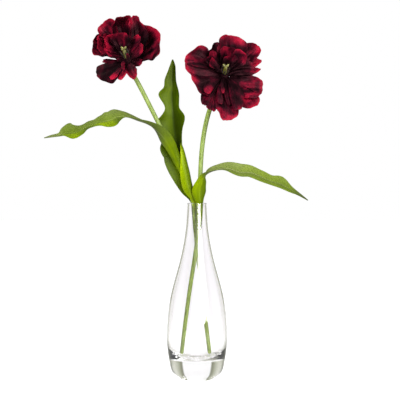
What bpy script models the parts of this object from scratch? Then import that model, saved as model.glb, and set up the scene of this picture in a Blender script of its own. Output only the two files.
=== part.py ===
"""Two double tulips that stand in a clear glass bottle vase.

Metres, +Z up. The origin is the centre of the vase's flat base, on the surface that it stands on.
-Y is the front, which the open faces of both blooms look towards.

Each tulip is a stem, leaves that clasp it, a bloom of layered petals on a receptacle, a pistil and a
ring of stamens. Lengths in the tables below are in millimetres and angles in degrees.
"""

import math
import random
from dataclasses import dataclass

import bmesh
import bpy
from mathutils import Matrix, Vector

MM = 0.001
GAP = 0.3  # clearance between pieces that touch on the real thing
SLIVER = 0.01  # edges shorter than this are closed up after pieces are fused

# Vase
VASE_HEIGHT = 220.0
VASE_BELLY_RADIUS = 38.0
VASE_MOUTH_RADIUS = 12.0
VASE_FOOT_RADIUS = 19.0  # of the flat that it stands on
VASE_WALL = 1.8
VASE_FLOOR = 25.0  # height of the top of the solid glass base
VASE_FLOOR_RADIUS = 17.0
VASE_SIDES = 24
# Outer radius by height, as shares of the belly's radius and of the vase's height
VASE_OUTLINE = [
    (0.012, 0.60),
    (0.027, 0.74),
    (0.055, 0.855),
    (0.108, 0.92),
    (0.160, 0.965),
    (0.230, 1.0),
    (0.335, 0.976),
    (0.420, 0.93),
    (0.505, 0.832),
    (0.565, 0.737),
    (0.660, 0.582),
    (0.755, 0.458),
    (0.876, 0.355),
]
# Wall thickness towards the base, by height, where the glass grows into the solid foot
WALL_BY_HEIGHT = [(0.0, 9.0), (30.0, 6.0), (38.0, 3.4), (50.0, 2.2), (70.0, VASE_WALL)]

# Stems: the middle of each stem from its cut foot to its top, and its radius at both
STEM_SIDES_RESOLUTION = 2
STEM_POINTS = 24
STEM_FOOT_RADIUS = 2.5
STEM_TOP_RADIUS = 3.1
LEFT_STEM = [
    (16.5, 1.6, 25.6),
    (12.6, 1.9, 58.0),
    (7.6, 2.3, 98.0),
    (3.6, 2.8, 133.0),
    (-0.4, 3.3, 168.0),
    (-2.4, 3.1, 197.0),
    (-4.3, 2.6, 219.0),
    (-10.6, 2.4, 238.0),
    (-18.6, 1.4, 261.0),
    (-31.8, 0.4, 288.0),
    (-47.2, -1.0, 318.0),
    (-61.8, -3.0, 347.0),
    (-73.4, -5.2, 369.5),
    (-81.8, -9.5, 384.4),
    (-84.0, -14.2, 390.8),
]
RIGHT_STEM = [
    (-19.9, -1.2, 25.95),
    (-16.2, -1.8, 58.0),
    (-9.6, -2.6, 108.0),
    (-4.4, -3.2, 141.0),
    (-0.4, -3.6, 168.0),
    (2.2, -3.6, 197.0),
    (3.2, -3.2, 220.0),
    (3.7, -2.4, 242.0),
    (4.3, -1.6, 259.0),
    (5.8, -0.4, 284.0),
    (9.2, 0.9, 310.0),
    (15.2, 1.2, 335.0),
    (24.4, -0.6, 357.5),
    (32.3, -6.9, 369.2),
    (33.1, -13.8, 373.8),
]

# Leaves
LEAF_THICKNESS = 0.8
LEAF_ROWS = 29

# Petals
PETAL_THICKNESS = 0.8
PETAL_COLUMNS = 4
OUTER_PETAL_ROWS = 6
INNER_PETAL_ROWS = 5
PETAL_ROOT_RADIUS = 3.8  # from the bloom's axis
RECEPTACLE_RADIUS = 6.4
RECEPTACLE_HEIGHT = 9.0
SPIRAL_STEP = 0.13
PETAL_FULLNESS = 0.09  # how much further out than a circle its margin runs at the corners
CLAW = 0.14  # half of a petal's width at its root, as a share of its waist's width
LEAST_CLAW = 2.0

# Pistil and stamens
PISTIL_HEIGHT = 15.0
PISTIL_RADIUS = 2.3
STIGMA_LOBES = 3
LOBE_RADIUS = 1.6
LOBE_LENGTH = 6.4
STAMENS = 6
STAMEN_HEIGHT = 11.5
STAMEN_RING_RADIUS = 3.05
STAMEN_RING_HALF_WIDTH = 0.55
FILAMENT_RADIUS = 0.55
ANTHER_RADIUS = 1.0
ANTHER_LENGTH = 5.5


@dataclass
class Petal:
    """One petal as a net of points in its bloom's own frame: right, up as faced, and along the axis.

    Left and right are as seen from its root, looking to its tip at its inner face.
    """

    left: tuple  # of its waist
    middle: tuple
    right: tuple
    left_corner: tuple  # of the net, past the petal's rounded shoulder
    tip: tuple
    right_corner: tuple
    wave: float = 1.0  # height of the ruffles in its margin
    level: float = 0.0  # of its root, along the axis


@dataclass
class Station:
    """A place on a leaf's middle line, the way its upper face looks there, and its section.

    Looking from the root to the tip at the upper face, the first of each pair is the left side.
    """

    place: tuple
    facing: tuple
    half_widths: tuple
    cups: tuple  # how far each side is turned in


@dataclass
class Bloom:
    centre: tuple  # the underside of the receptacle, on the bloom's axis
    axis: tuple
    petals: list
    seed: int


LEFT_BLOOM = Bloom(
    centre=(-84.2, -14.6, 391.4),
    axis=(-0.27, -0.56, 0.78),
    seed=6,
    petals=[
        Petal(  # top
            (-30.2, 33.5, 27), (-23.2, 47.2, 21), (-1.6, 34.4, 26),
            (-18.4, 36.4, 46), (-11.9, 43.7, 45), (7.9, 42.1, 42.8),
            wave=0.8, level=0,
        ),
        Petal(  # top right
            (-2.2, 29.9, 23), (1.8, 37.6, 15), (19, 23.4, 17),
            (-10.6, 51.4, 46.8), (3.5, 48.6, 38), (16.1, 36.5, 37.1),
            wave=0.8, level=0,
        ),
        Petal(  # right
            (2.8, 35.9, 16), (11.4, 33.9, 5), (30.1, -0.9, 5),
            (0.4, 54.2, 35), (32.5, 37.2, 22), (58, -7.7, 18.7),
            wave=1.2, level=0,
        ),
        Petal(  # upper left
            (-35, 24, 20), (-33.7, 35, 13), (-25.6, 40.4, 18),
            (-51, 29.8, 34.3), (-47.4, 46.7, 34), (-20.5, 48.6, 50.7),
            wave=0.8, level=0,
        ),
        Petal(  # left
            (-28.6, 8.3, 6), (-39.5, 31, 4), (-37.9, 37, 12),
            (-42.9, -4.5, 14.2), (-56.7, 22.3, 18), (-49.7, 39.5, 35.4),
            wave=0.6, level=0,
        ),
        Petal(  # lower left, drooping
            (-8.4, -17.2, -5), (-19.1, -8.2, -0), (-18.2, 2.5, 4),
            (-17, -33.3, -9.9), (-43.7, -10, -5), (-50.8, 14.3, 1.9),
            wave=1.4, level=0,
        ),
        Petal(  # lower left, small
            (-16.8, 0.2, 1), (-18.3, 4.5, 2), (-19.3, 7.6, 3),
            (-44.4, 5.6, 1.5), (-40.8, 9.8, 2), (-39.4, 11, 6),
            wave=0.5, level=0,
        ),
        Petal(  # lower, crimson lobe
            (-7.4, -10.6, -2), (-10.7, -11.2, -0), (-17.2, -7.6, -2),
            (-9.5, -19.2, -4.6), (-13.1, -24.1, -5), (-26.4, -20.4, -6.5),
            wave=0.6, level=0,
        ),
        Petal(  # lower, second lobe
            (-2, -3.5, -4), (-6, -4.7, -3), (-9.4, -6.7, -3),
            (-2.2, -7, -8.7), (-6.1, -19.1, -9), (-14.8, -19, -7.4),
            wave=0.6, level=0,
        ),
        Petal(  # below, along the stem
            (8.6, -1.8, -2), (5, -7.6, -1), (-4.1, -2.6, -3),
            (12.5, -3.6, -10.3), (7.5, -12.2, -14), (-1.8, -9.5, -11.6),
            wave=0.5, level=0,
        ),
        Petal(  # lower right, small
            (11.2, 6.8, 4), (8.2, 2.2, 2), (4.2, -0.7, -1),
            (20.9, 6.5, 3.3), (17.1, -2.2, -0), (5.3, 2.6, -7),
            wave=0.5, level=0,
        ),
        Petal(  # left, second layer
            (-24.5, 8.6, 10), (-32.7, 28.7, 8), (-32.6, 34.1, 15),
            (-35.6, -7.6, 19.6), (-45.2, 19.6, 22), (-44.4, 26.1, 37.6),
            wave=0.8, level=0.8,
        ),
        Petal(  # left, third layer
            (-18.9, 7.3, 12), (-26, 25, 10), (-25.8, 30.2, 17),
            (-21.6, -15.2, 25.5), (-34.6, 16.1, 25), (-27.9, 19.1, 43.4),
            wave=0.8, level=0.8,
        ),
        Petal(  # right, strip
            (5.7, 10.3, 13), (7.8, 8, 10), (13.4, 2.2, 9),
            (14.6, 14.7, 26.3), (18.4, 14.1, 20), (29.5, 4.1, 19.1),
            wave=0.5, level=0.8,
        ),
        Petal(  # front, drooping strip
            (-1.2, -4.7, 7), (-3.1, -6.1, 8), (-6.6, -4.2, 7),
            (3.7, -15.3, 3.5), (1.6, -18.2, 4), (-3.3, -14.6, 3.5),
            wave=0.2, level=0.8,
        ),
        Petal(  # inner top
            (-21.2, 15, 19), (-15.2, 20.7, 15), (-0.5, 13, 19),
            (-23.6, 17.8, 36.4), (-11, 23.9, 31), (13.4, 16.1, 32.6),
            wave=1.2, level=1.6,
        ),
        Petal(  # inner upper left
            (-21.8, 9.8, 15), (-22.3, 21.5, 12), (-16.6, 22.3, 17),
            (-24.6, -2.2, 31.6), (-30, 18.6, 29), (-15.2, 16.9, 43.7),
            wave=1, level=1.6,
        ),
        Petal(  # inner left
            (-13.4, 3.1, 10), (-18.7, 14.3, 9), (-20.1, 17.4, 13),
            (-21.9, -9.3, 15.7), (-25.9, 2.3, 20), (-27.5, 1.8, 32.9),
            wave=0.8, level=1.6,
        ),
        Petal(  # inner right, strip
            (-0.1, 14.5, 18), (-0, 16.2, 14), (5.7, 10.3, 13),
            (11.6, 18.8, 32.3), (13.9, 21.9, 27), (25.7, 9.7, 27.6),
            wave=0.5, level=1.6,
        ),
        Petal(  # inner front
            (-0.3, 0.5, 8), (-8.9, 5.8, 8), (-15.1, 9.3, 9),
            (-5, -9.2, 8.1), (-15.4, 0.2, 9), (-27.7, 1.7, 13.2),
            wave=0.5, level=1.6,
        ),
        Petal(  # inner, upright
            (5.4, -10.7, 12), (9.2, -12.6, 13), (11.1, -11.2, 12),
            (11.2, -15.7, 25.4), (10.8, -11.4, 23), (17.4, -18.7, 25.4),
            wave=0.2, level=1.6,
        ),
    ],
)
RIGHT_BLOOM = Bloom(
    centre=(33.2, -14.4, 374.2),
    axis=(0.10, -0.83, 0.55),
    seed=2,
    petals=[
        Petal(  # left, upper half
            (-24.2, 6.6, 12), (-25.2, 25, 9), (-15.8, 24.9, 15),
            (-56.1, -0.4, 16.8), (-42.6, 27.6, 17), (-20.6, 38.1, 24.5),
            wave=1, level=0,
        ),
        Petal(  # left, lower half
            (-24.9, -31.5, 5), (-26.6, -1.2, 6), (-22.6, 10.6, 11),
            (-38, -12.3, 13.3), (-47.5, 1.5, 12), (-51.9, 22, 19.2),
            wave=1, level=0,
        ),
        Petal(  # lower left, small
            (-11.8, -23.6, 3), (-17.7, -21.4, 2), (-23.9, -18.3, 4),
            (-25, -44.4, 1), (-28.1, -41.5, -0), (-35.1, -34.3, 2.3),
            wave=0.8, level=0,
        ),
        Petal(  # lower left, lobe
            (-6.8, -24.3, 2), (-12.9, -25.2, 1), (-17.9, -24.5, 2),
            (-11, -51.1, -0), (-18.2, -49.8, -1), (-29.1, -46.6, -0),
            wave=0.8, level=0,
        ),
        Petal(  # bottom
            (13.1, -34.2, 5), (0.1, -32, 2), (-12.1, -32.9, 5),
            (19.9, -63.1, 6.4), (-2.1, -63.3, -0), (-12.1, -62.9, 2.6),
            wave=1.8, level=0,
        ),
        Petal(  # lower right, lobe
            (27.5, -20.8, 8), (21.2, -26.3, 5), (11.8, -33.4, 6),
            (47.7, -36.2, 7.7), (32.9, -47.8, 5), (17.8, -57.3, 7),
            wave=1.6, level=0,
        ),
        Petal(  # lower right
            (22.2, -3.7, 12), (19.5, -13.9, 7), (16.6, -31.8, 8),
            (45.9, -2.1, 13.2), (45.4, -19, 10), (46.2, -44, 11.8),
            wave=1.2, level=0,
        ),
        Petal(  # right, upper tooth
            (25.6, 21.7, 12), (24.2, 13.8, 8), (23.5, 5.9, 8),
            (47.1, 21.2, 13.9), (47.3, 17.3, 12), (42.3, 7.3, 12.5),
            wave=0.8, level=0,
        ),
        Petal(  # right, lower tooth
            (25, 9.8, 9), (23.8, 5.9, 6), (21.7, -2.9, 7),
            (42.2, 7.2, 11.5), (45.5, 7.8, 9), (35.9, -2.4, 10.7),
            wave=0.6, level=0,
        ),
        Petal(  # upper right
            (18.3, 28.8, 15), (23.6, 22.6, 9), (29.9, 11.5, 11),
            (25.7, 40, 26.3), (42, 37, 22), (51.8, 23, 19.2),
            wave=1.8, level=0,
        ),
        Petal(  # top
            (-8.6, 23.4, 17), (6.2, 28.7, 11), (22.4, 20.8, 17),
            (-5, 40.6, 32.2), (7, 47.5, 27), (39, 35.5, 32.2),
            wave=1.8, level=0,
        ),
        Petal(  # upper left
            (-19.8, 18.6, 13), (-11.6, 22, 9), (-5.5, 23.6, 11),
            (-19.1, 21.6, 27.6), (-13.8, 31.9, 24), (2.1, 45.3, 28.8),
            wave=1.2, level=0,
        ),
        Petal(  # right, broad
            (17.3, 15.2, 14), (17.4, 8.1, 9), (15.2, -3, 9),
            (33.8, 18.3, 16.7), (38.1, 6, 12), (35.6, -10.5, 10.2),
            wave=1, level=0.8,
        ),
        Petal(  # lower right, tongue
            (18.2, -23.3, 11), (9.4, -24.2, 12), (2.6, -19.6, 10),
            (22.1, -53.4, 5.3), (11.9, -56.4, 10), (3.8, -59, 5.9),
            wave=0.8, level=0.8,
        ),
        Petal(  # upper left, curled
            (-20.8, 10.5, 17), (-12.5, 14.7, 12), (-8.9, 17.9, 16),
            (-20.6, 13, 26), (-17.1, 21.4, 25), (-7.3, 24.4, 26.6),
            wave=1, level=0.8,
        ),
        Petal(  # lower, narrow left
            (-5.2, -27.5, 8), (-8.4, -26.7, 9), (-11.3, -26, 8),
            (-2, -42.9, 6.1), (-8.1, -44.4, 6), (-12.7, -40.9, 6.1),
            wave=0.6, level=0.8,
        ),
        Petal(  # lower, narrow right
            (3.9, -24.2, 6), (0.5, -26.6, 7), (-2.4, -25.9, 6),
            (9.6, -37.8, 3.9), (3.6, -45, 5), (-1.7, -42.8, 3.9),
            wave=0.6, level=0.8,
        ),
        Petal(  # lower left, tongue
            (-11.8, -18.3, 12), (-16.1, -16.4, 13.5), (-20, -13, 12),
            (-18.8, -33.7, 11.3), (-25.4, -34.7, 14), (-32.1, -25, 11.3),
            wave=0.4, level=0.8,
        ),
        Petal(  # inner upper right
            (5.6, 14.9, 18), (12.4, 14.3, 13), (17.7, 6.4, 15),
            (9.3, 23.2, 30.2), (22.4, 21.2, 27), (32.9, 12, 24.4),
            wave=1.4, level=1.6,
        ),
        Petal(  # inner top
            (-5.6, 13.9, 17), (2.7, 18.9, 13), (9.4, 14.2, 17),
            (-7.5, 20.5, 33.1), (3.9, 26.4, 29), (19.9, 23.9, 33.1),
            wave=1.6, level=1.6,
        ),
        Petal(  # inner, over the pistil
            (-3.2, 8.5, 14), (4.8, 11.8, 12), (10.5, 8.7, 14),
            (-0.7, 15.4, 26.4), (7.6, 17.9, 24), (20.3, 18.6, 26.4),
            wave=1.4, level=1.6,
        ),
        Petal(  # inner left, small
            (-9.7, 2.1, 12), (-10.3, 9.2, 11), (-9.1, 13.1, 14),
            (-18.8, 4.5, 18.4), (-19.1, 9.7, 18), (-16.8, 20.7, 24.8),
            wave=0.6, level=1.6,
        ),
        Petal(  # inner lower, thin
            (-3, -17.4, 11), (-5, -18.2, 12), (-6.7, -17.4, 11),
            (1.1, -27.5, 10), (-4.6, -31.3, 11), (-6.6, -27.5, 10),
            wave=0.3, level=1.6,
        ),
    ],
)


def smooth_through(values, share):
    """The value at share, from 0 to 1, of a smooth curve through evenly spaced vectors."""
    last = len(values) - 1
    here = min(share * last, last - 1e-9)
    i = int(here)
    u = here - i
    before = values[i - 1] if i else values[0] * 2 - values[1]
    after = values[i + 2] if i + 2 <= last else values[last] * 2 - values[last - 1]
    start, end = values[i], values[i + 1]
    return (
        start
        + (end - before) * (0.5 * u)
        + (before * 2 - start * 5 + end * 4 - after) * (0.5 * u * u)
        + (start * 3 - before - end * 3 + after) * (0.5 * u * u * u)
    )


def between(pairs, x):
    """The value at x on straight lines through (x, value) pairs in rising order."""
    if x <= pairs[0][0]:
        return pairs[0][1]
    for (x0, y0), (x1, y1) in zip(pairs, pairs[1:]):
        if x <= x1:
            return y0 + (y1 - y0) * (x - x0) / (x1 - x0)
    return pairs[-1][1]


def eased(x):
    x = min(max(x, 0.0), 1.0)
    return x * x * (3 - 2 * x)


def material(name, colour, roughness, alpha=1.0, transmission=0.0):
    made = bpy.data.materials.get(name)
    if made:
        return made
    made = bpy.data.materials.new(name)
    made.use_nodes = True
    shader = made.node_tree.nodes["Principled BSDF"]
    shader.inputs["Base Color"].default_value = (*colour, 1.0)
    shader.inputs["Roughness"].default_value = roughness
    shader.inputs["Metallic"].default_value = 0.0
    shader.inputs["Alpha"].default_value = alpha
    shader.inputs["Transmission Weight"].default_value = transmission
    made.diffuse_color = (*colour, alpha)
    return made


def petal_red():
    return material("tulip petal, dark red", (0.19, 0.006, 0.016), 0.55)


def leaf_green():
    return material("tulip leaf, yellow green", (0.20, 0.33, 0.01), 0.5)


def stem_green():
    return material("tulip stem, pale green", (0.33, 0.44, 0.12), 0.5)


def pistil_yellow():
    return material("tulip pistil, yellow green", (0.45, 0.43, 0.06), 0.5)


def clear_glass():
    return material("clear soda glass", (0.95, 0.97, 0.97), 0.02, transmission=1.0)


def collection(name):
    made = bpy.data.collections.new(name)
    bpy.context.scene.collection.children.link(made)
    return made


def object_from(name, mesh, home, look):
    """A new object with this mesh, in the collection home, wearing the material look."""
    made = bpy.data.objects.new(name, mesh)
    home.objects.link(made)
    mesh.materials.clear()
    mesh.materials.append(look)
    return made


def mesh_from(shape, name):
    """A mesh from a bmesh, which is freed."""
    mesh = bpy.data.meshes.new(name)
    shape.to_mesh(mesh)
    shape.free()
    return mesh


def smooth_shaded(made, angle=40):
    made.data.shade_smooth()
    made.data.set_sharp_from_angle(angle=math.radians(angle))
    return made


def applied(made, home, weld=1e-6):
    """The object with its modifiers applied, as a mesh object of the same name, in home."""
    bpy.context.view_layer.update()
    graph = bpy.context.evaluated_depsgraph_get()
    mesh = bpy.data.meshes.new_from_object(made.evaluated_get(graph))
    mesh.transform(made.matrix_world)
    look, name = made.active_material, made.name
    bpy.data.objects.remove(made)
    mesh.name = name
    if weld:
        shape = bmesh.new()
        shape.from_mesh(mesh)
        bmesh.ops.remove_doubles(shape, verts=shape.verts, dist=weld)
        shape.to_mesh(mesh)
        shape.free()
    return object_from(name, mesh, home, look)


def islands(shape):
    """The bmesh's pieces, each a list of faces, parted also where they only touch along an edge."""
    left, found = set(shape.faces), []
    while left:
        piece, reached = [], [left.pop()]
        while reached:
            face = reached.pop()
            piece.append(face)
            for side in face.edges:
                if len(side.link_faces) != 2:
                    continue
                for other in side.link_faces:
                    if other in left:
                        left.remove(other)
                        reached.append(other)
        found.append(piece)
    return found


def tidied(mesh):
    """Takes the slivers out of a fused mesh, and keeps its largest piece alone."""
    shape = bmesh.new()
    shape.from_mesh(mesh)
    bmesh.ops.triangulate(shape, faces=shape.faces)
    bmesh.ops.dissolve_degenerate(shape, dist=SLIVER * MM, edges=shape.edges)
    bmesh.ops.triangulate(shape, faces=shape.faces)
    pieces = sorted(islands(shape), key=lambda faces: sum(f.calc_area() for f in faces))
    for scrap in pieces[:-1]:
        bmesh.ops.delete(shape, geom=scrap, context="FACES")
    shape.to_mesh(mesh)
    shape.free()


def fused(name, pieces, home, look, solver="MANIFOLD"):
    """One object from several closed ones, joined by one Boolean union."""
    first, rest = pieces[0], pieces[1:]
    others = collection(name + " pieces")
    for piece in rest:
        for old in piece.users_collection:
            old.objects.unlink(piece)
        others.objects.link(piece)
    union = first.modifiers.new("join the pieces", "BOOLEAN")
    union.operation = "UNION"
    union.operand_type = "COLLECTION"
    union.collection = others
    union.solver = solver
    first.name = name
    made = applied(first, home, weld=0.0)
    for piece in rest:
        bpy.data.objects.remove(piece)
    bpy.data.collections.remove(others)
    tidied(made.data)
    made.data.materials.clear()
    made.data.materials.append(look)
    return smooth_shaded(made)


def closed_sheet(shape, name, thickness, home, look):
    """A closed blade from an open grid, split into triangles alike on both faces."""
    bmesh.ops.triangulate(shape, faces=shape.faces, quad_method="FIXED")
    blade = object_from(name, mesh_from(shape, name), home, look)
    solid = blade.modifiers.new("blade thickness", "SOLIDIFY")
    solid.thickness = thickness * MM
    solid.offset = 0.0
    return blade


def vase_radius(height):
    """The outer radius at a height, both in millimetres."""
    stations = [Vector((h * VASE_HEIGHT, r * VASE_BELLY_RADIUS)) for h, r in VASE_OUTLINE]
    stations.append(Vector((VASE_HEIGHT, VASE_MOUTH_RADIUS)))
    steps = 400
    points = [smooth_through(stations, i / steps) for i in range(steps + 1)]
    return between([(p.x, p.y) for p in points], height)


def vase_profile():
    """The vase's section from the middle of its inner floor, up the inside, over the rim and down."""
    rim_round = VASE_WALL / 2
    inside_top = VASE_HEIGHT - rim_round
    heights = [36, 46, 60, 80, 100, 118, 136, 156, 178, 200, inside_top]
    fillet = []
    start = Vector((VASE_FLOOR_RADIUS, VASE_FLOOR))
    corner = Vector((vase_radius(30) - 6.4, VASE_FLOOR + 0.6))
    end = Vector((vase_radius(heights[0]) - between(WALL_BY_HEIGHT, heights[0]), heights[0]))
    for i in range(4):
        u = i / 4
        fillet.append(start * (1 - u) ** 2 + corner * (2 * u * (1 - u)) + end * u * u)
    inside = [Vector((vase_radius(h) - between(WALL_BY_HEIGHT, h), h)) for h in heights]
    rim_centre = Vector((VASE_MOUTH_RADIUS - rim_round, inside_top))
    rim = []
    for degrees in (140, 90, 40):
        a = math.radians(degrees)
        rim.append(rim_centre + Vector((math.cos(a), math.sin(a))) * rim_round)
    outside = [Vector((vase_radius(h), h)) for h in reversed(heights)]
    low = [22, 13, 7, 2.6]
    outside += [Vector((vase_radius(h), h)) for h in low]
    foot = [Vector((VASE_FOOT_RADIUS + 1.6, 0.7)), Vector((VASE_FOOT_RADIUS, 0.0))]
    ends = [Vector((0.0, VASE_FLOOR)), Vector((0.0, 0.0))]
    return [ends[0], *fillet, *inside, *rim, *outside, *foot, ends[1]]


def build_vase(home):
    shape = bmesh.new()
    points = [shape.verts.new((p.x * MM, 0.0, p.y * MM)) for p in vase_profile()]
    for a, b in zip(points, points[1:]):
        shape.edges.new((a, b))
    vase = object_from("vase", mesh_from(shape, "vase"), home, clear_glass())
    turn = vase.modifiers.new("turned body", "SCREW")
    turn.axis = "Z"
    turn.steps = turn.render_steps = VASE_SIDES
    turn.use_merge_vertices = True
    turn.merge_threshold = 1e-5
    turn.use_normal_calculate = True
    return smooth_shaded(applied(vase, home), 50)


def stem_points(route):
    places = [Vector(p) for p in route]
    return [smooth_through(places, i / STEM_POINTS) for i in range(STEM_POINTS + 1)]


def build_stem(name, route, home):
    """A round stem, a little thicker at its top, along a smooth curve through the route."""
    curve = bpy.data.curves.new(name, "CURVE")
    curve.dimensions = "3D"
    curve.bevel_depth = STEM_TOP_RADIUS * MM
    curve.bevel_resolution = STEM_SIDES_RESOLUTION
    curve.use_fill_caps = True
    points = stem_points(route)
    line = curve.splines.new("POLY")
    line.points.add(len(points) - 1)
    for i, p in enumerate(points):
        share = i / (len(points) - 1)
        radius = STEM_FOOT_RADIUS + (STEM_TOP_RADIUS - STEM_FOOT_RADIUS) * share
        line.points[i].co = (*(p * MM), 1.0)
        line.points[i].radius = radius / STEM_TOP_RADIUS
    stem = bpy.data.objects.new(name, curve)
    home.objects.link(stem)
    curve.materials.append(stem_green())
    made = applied(stem, home)
    return smooth_shaded(made)


def on_stem(route, height):
    """The stem's middle at a height, and its radius there."""
    points = stem_points(route)
    for i, (low, high) in enumerate(zip(points, points[1:])):
        if low.z <= height <= high.z:
            share = (i + 0.5) / (len(points) - 1)
            middle = low.lerp(high, (height - low.z) / (high.z - low.z))
            radius = STEM_FOOT_RADIUS + (STEM_TOP_RADIUS - STEM_FOOT_RADIUS) * share
            return middle, radius
    raise ValueError(f"the stem has no point at height {height}")


def clasp(route, height, facing, left, right, room=0.0):
    """A station where a leaf's sheath lies round its stem, with this much room past the gap."""
    middle, radius = on_stem(route, height)
    reach = radius + GAP + 0.15 + LEAF_THICKNESS / 2 + room
    toward = Vector(facing).normalized()
    cups = (math.degrees(left / reach), math.degrees(right / reach))
    return Station(tuple(middle - toward * reach), tuple(toward), (left, right), cups)


def leaf_surface(stations, wave, waves, phase, columns, rows):
    """An open grid bent along the stations, with waves in both its margins."""
    places = [Vector(s.place) for s in stations]
    facings = [Vector(s.facing).normalized() for s in stations]
    sections = [Vector((*s.half_widths, *(math.radians(cup) for cup in s.cups))) for s in stations]
    shape = bmesh.new()
    bmesh.ops.create_grid(shape, x_segments=columns, y_segments=rows, size=1.0)
    for vert in shape.verts:
        across, share = vert.co.x, (vert.co.y + 1) / 2
        middle = smooth_through(places, share)
        ahead = smooth_through(places, min(share + 0.01, 1.0))
        behind = smooth_through(places, max(share - 0.01, 0.0))
        along = (ahead - behind).normalized()
        facing = smooth_through(facings, share)
        facing = (facing - along * facing.dot(along)).normalized()
        side = along.cross(facing)
        section = smooth_through(sections, share)
        right = across > 0
        half_width, cup = max(section[right], 0.7), max(section[2 + right], 0.05)
        swing = math.sin(math.tau * waves * share + phase + (0.9 if across > 0 else 0.0))
        amount = wave * eased(share * 3 - 0.9) * eased((1 - share) * 5) * across * across
        half_width *= 1 + 0.16 * swing * amount / max(wave, 0.1)
        turn = cup * across
        sideways = half_width * math.sin(turn) / cup
        lift = half_width * (1 - math.cos(turn)) / cup + amount * swing
        vert.co = (middle + side * sideways + facing * lift) * MM
    return shape


def build_leaf(name, stations, columns, wave, waves, phase, home):
    shape = leaf_surface(stations, wave, waves, phase, columns, LEAF_ROWS)
    leaf = closed_sheet(shape, name, LEAF_THICKNESS, home, leaf_green())
    return smooth_shaded(applied(leaf, home), 60)


def bloom_frame(bloom):
    """The matrix from the bloom's own frame, in millimetres, with its axis along its Z."""
    axis = Vector(bloom.axis).normalized()
    right = Vector((0.0, 0.0, 1.0)).cross(-axis).normalized()
    if right.x < 0:
        right = -right
    up = axis.cross(right)
    turn = Matrix((right, up, axis)).transposed().to_4x4()
    return Matrix.Translation(Vector(bloom.centre)) @ turn


def bowed(points, t):
    """The point at t, from -1 to 1, of the curve through three points."""
    return points[0] * (t * (t - 1) / 2) + points[1] * (1 - t * t) + points[2] * (t * (t + 1) / 2)


def petal_net(petal, position):
    """The petal's rows of points: its root, its waist and its far row, each from left to right.

    The roots lie on a spiral, so that each place in it is a little above the last.
    """
    left, middle, right = (Vector(p) for p in (petal.left, petal.middle, petal.right))
    outward = Vector((middle.x, middle.y, 0.0)).normalized()
    side = Vector((-outward.y, outward.x, 0.0))
    root = outward * PETAL_ROOT_RADIUS
    root.z = RECEPTACLE_HEIGHT * 0.4 + petal.level + position * SPIRAL_STEP
    claw = max(LEAST_CLAW, CLAW * (right - left).length)
    far_row = [Vector(p) for p in (petal.left_corner, petal.tip, petal.right_corner)]
    return [[root + side * claw, root, root - side * claw], [left, middle, right], far_row]


def on_net(net, x, y):
    return bowed([bowed(row, x) for row in net], y)


def petal_surface(petal, position, rng, columns, rows):
    """An open grid in the bloom's frame: a rounded petal that narrows to a claw at its root."""
    phases = [rng.uniform(0, math.tau) for _ in range(4)]
    ripples = rng.choice((4, 5))
    net = petal_net(petal, position)
    near = 0.02
    shape = bmesh.new()
    bmesh.ops.create_grid(shape, x_segments=columns, y_segments=rows, size=1.0)
    for vert in shape.verts:
        x, y = vert.co.x, vert.co.y
        # a square laid on a disc, so that the margin is one round line, a little fuller at the corners
        x, y = x * math.sqrt(1 - y * y / 2), y * math.sqrt(1 - x * x / 2)
        rim = math.hypot(x, y)
        round_way = math.atan2(x, y)
        full = abs(math.sin(2 * round_way)) * PETAL_FULLNESS * rim
        far = eased((y + 1) * 0.9)
        waves = 0.014 * math.sin(ripples * round_way + phases[0])
        waves += 0.012 * math.sin(7 * round_way + phases[1])
        spread = (1 + full) * (1 + far * rim**2 * waves)
        x, y = x * spread, y * spread
        point = on_net(net, x, y)
        sideways = on_net(net, x + near, y) - on_net(net, x - near, y)
        lengthways = on_net(net, x, y + near) - on_net(net, x, y - near)
        facing = sideways.cross(lengthways).normalized()
        ruffle = petal.wave * far * rim**3 * math.sin(ripples * round_way + phases[2])
        vert.co = point + facing * ruffle
    return shape


def receptacle(name, frame, home):
    """The rounded knob on the stem's top that the petals grow from, flat underneath."""
    shape = bmesh.new()
    rings = [(0.0, 0.0), (0.55, 0.0), (0.85, 0.22), (1.0, 0.5), (0.92, 0.78), (0.62, 0.96), (0.0, 1.0)]
    points = [
        shape.verts.new((r * RECEPTACLE_RADIUS, 0.0, h * RECEPTACLE_HEIGHT)) for r, h in reversed(rings)
    ]
    edges = [shape.edges.new((a, b)) for a, b in zip(points, points[1:])]
    bmesh.ops.spin(
        shape,
        geom=points + edges,
        axis=(0, 0, 1),
        cent=(0, 0, 0),
        steps=14,
        angle=math.tau,
        use_merge=True,
    )
    bmesh.ops.remove_doubles(shape, verts=shape.verts, dist=1e-4)
    bmesh.ops.recalc_face_normals(shape, faces=shape.faces)
    bmesh.ops.transform(shape, matrix=Matrix.Scale(MM, 4) @ frame, verts=shape.verts)
    return object_from(name, mesh_from(shape, name), home, petal_red())


def build_bloom(name, bloom, home):
    """All the petals of a bloom, in their layers, fused to the receptacle."""
    frame = bloom_frame(bloom)
    rng = random.Random(bloom.seed)
    pieces = [receptacle(name + " receptacle", frame, home)]
    for i, petal in enumerate(bloom.petals):
        rows = INNER_PETAL_ROWS if petal.level else OUTER_PETAL_ROWS
        shape = petal_surface(petal, i, rng, PETAL_COLUMNS, rows)
        bmesh.ops.transform(shape, matrix=Matrix.Scale(MM, 4) @ frame, verts=shape.verts)
        sheet = closed_sheet(shape, f"{name} petal {i}", PETAL_THICKNESS, home, petal_red())
        pieces.append(applied(sheet, home))
    return fused(name, pieces, home, petal_red())


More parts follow.
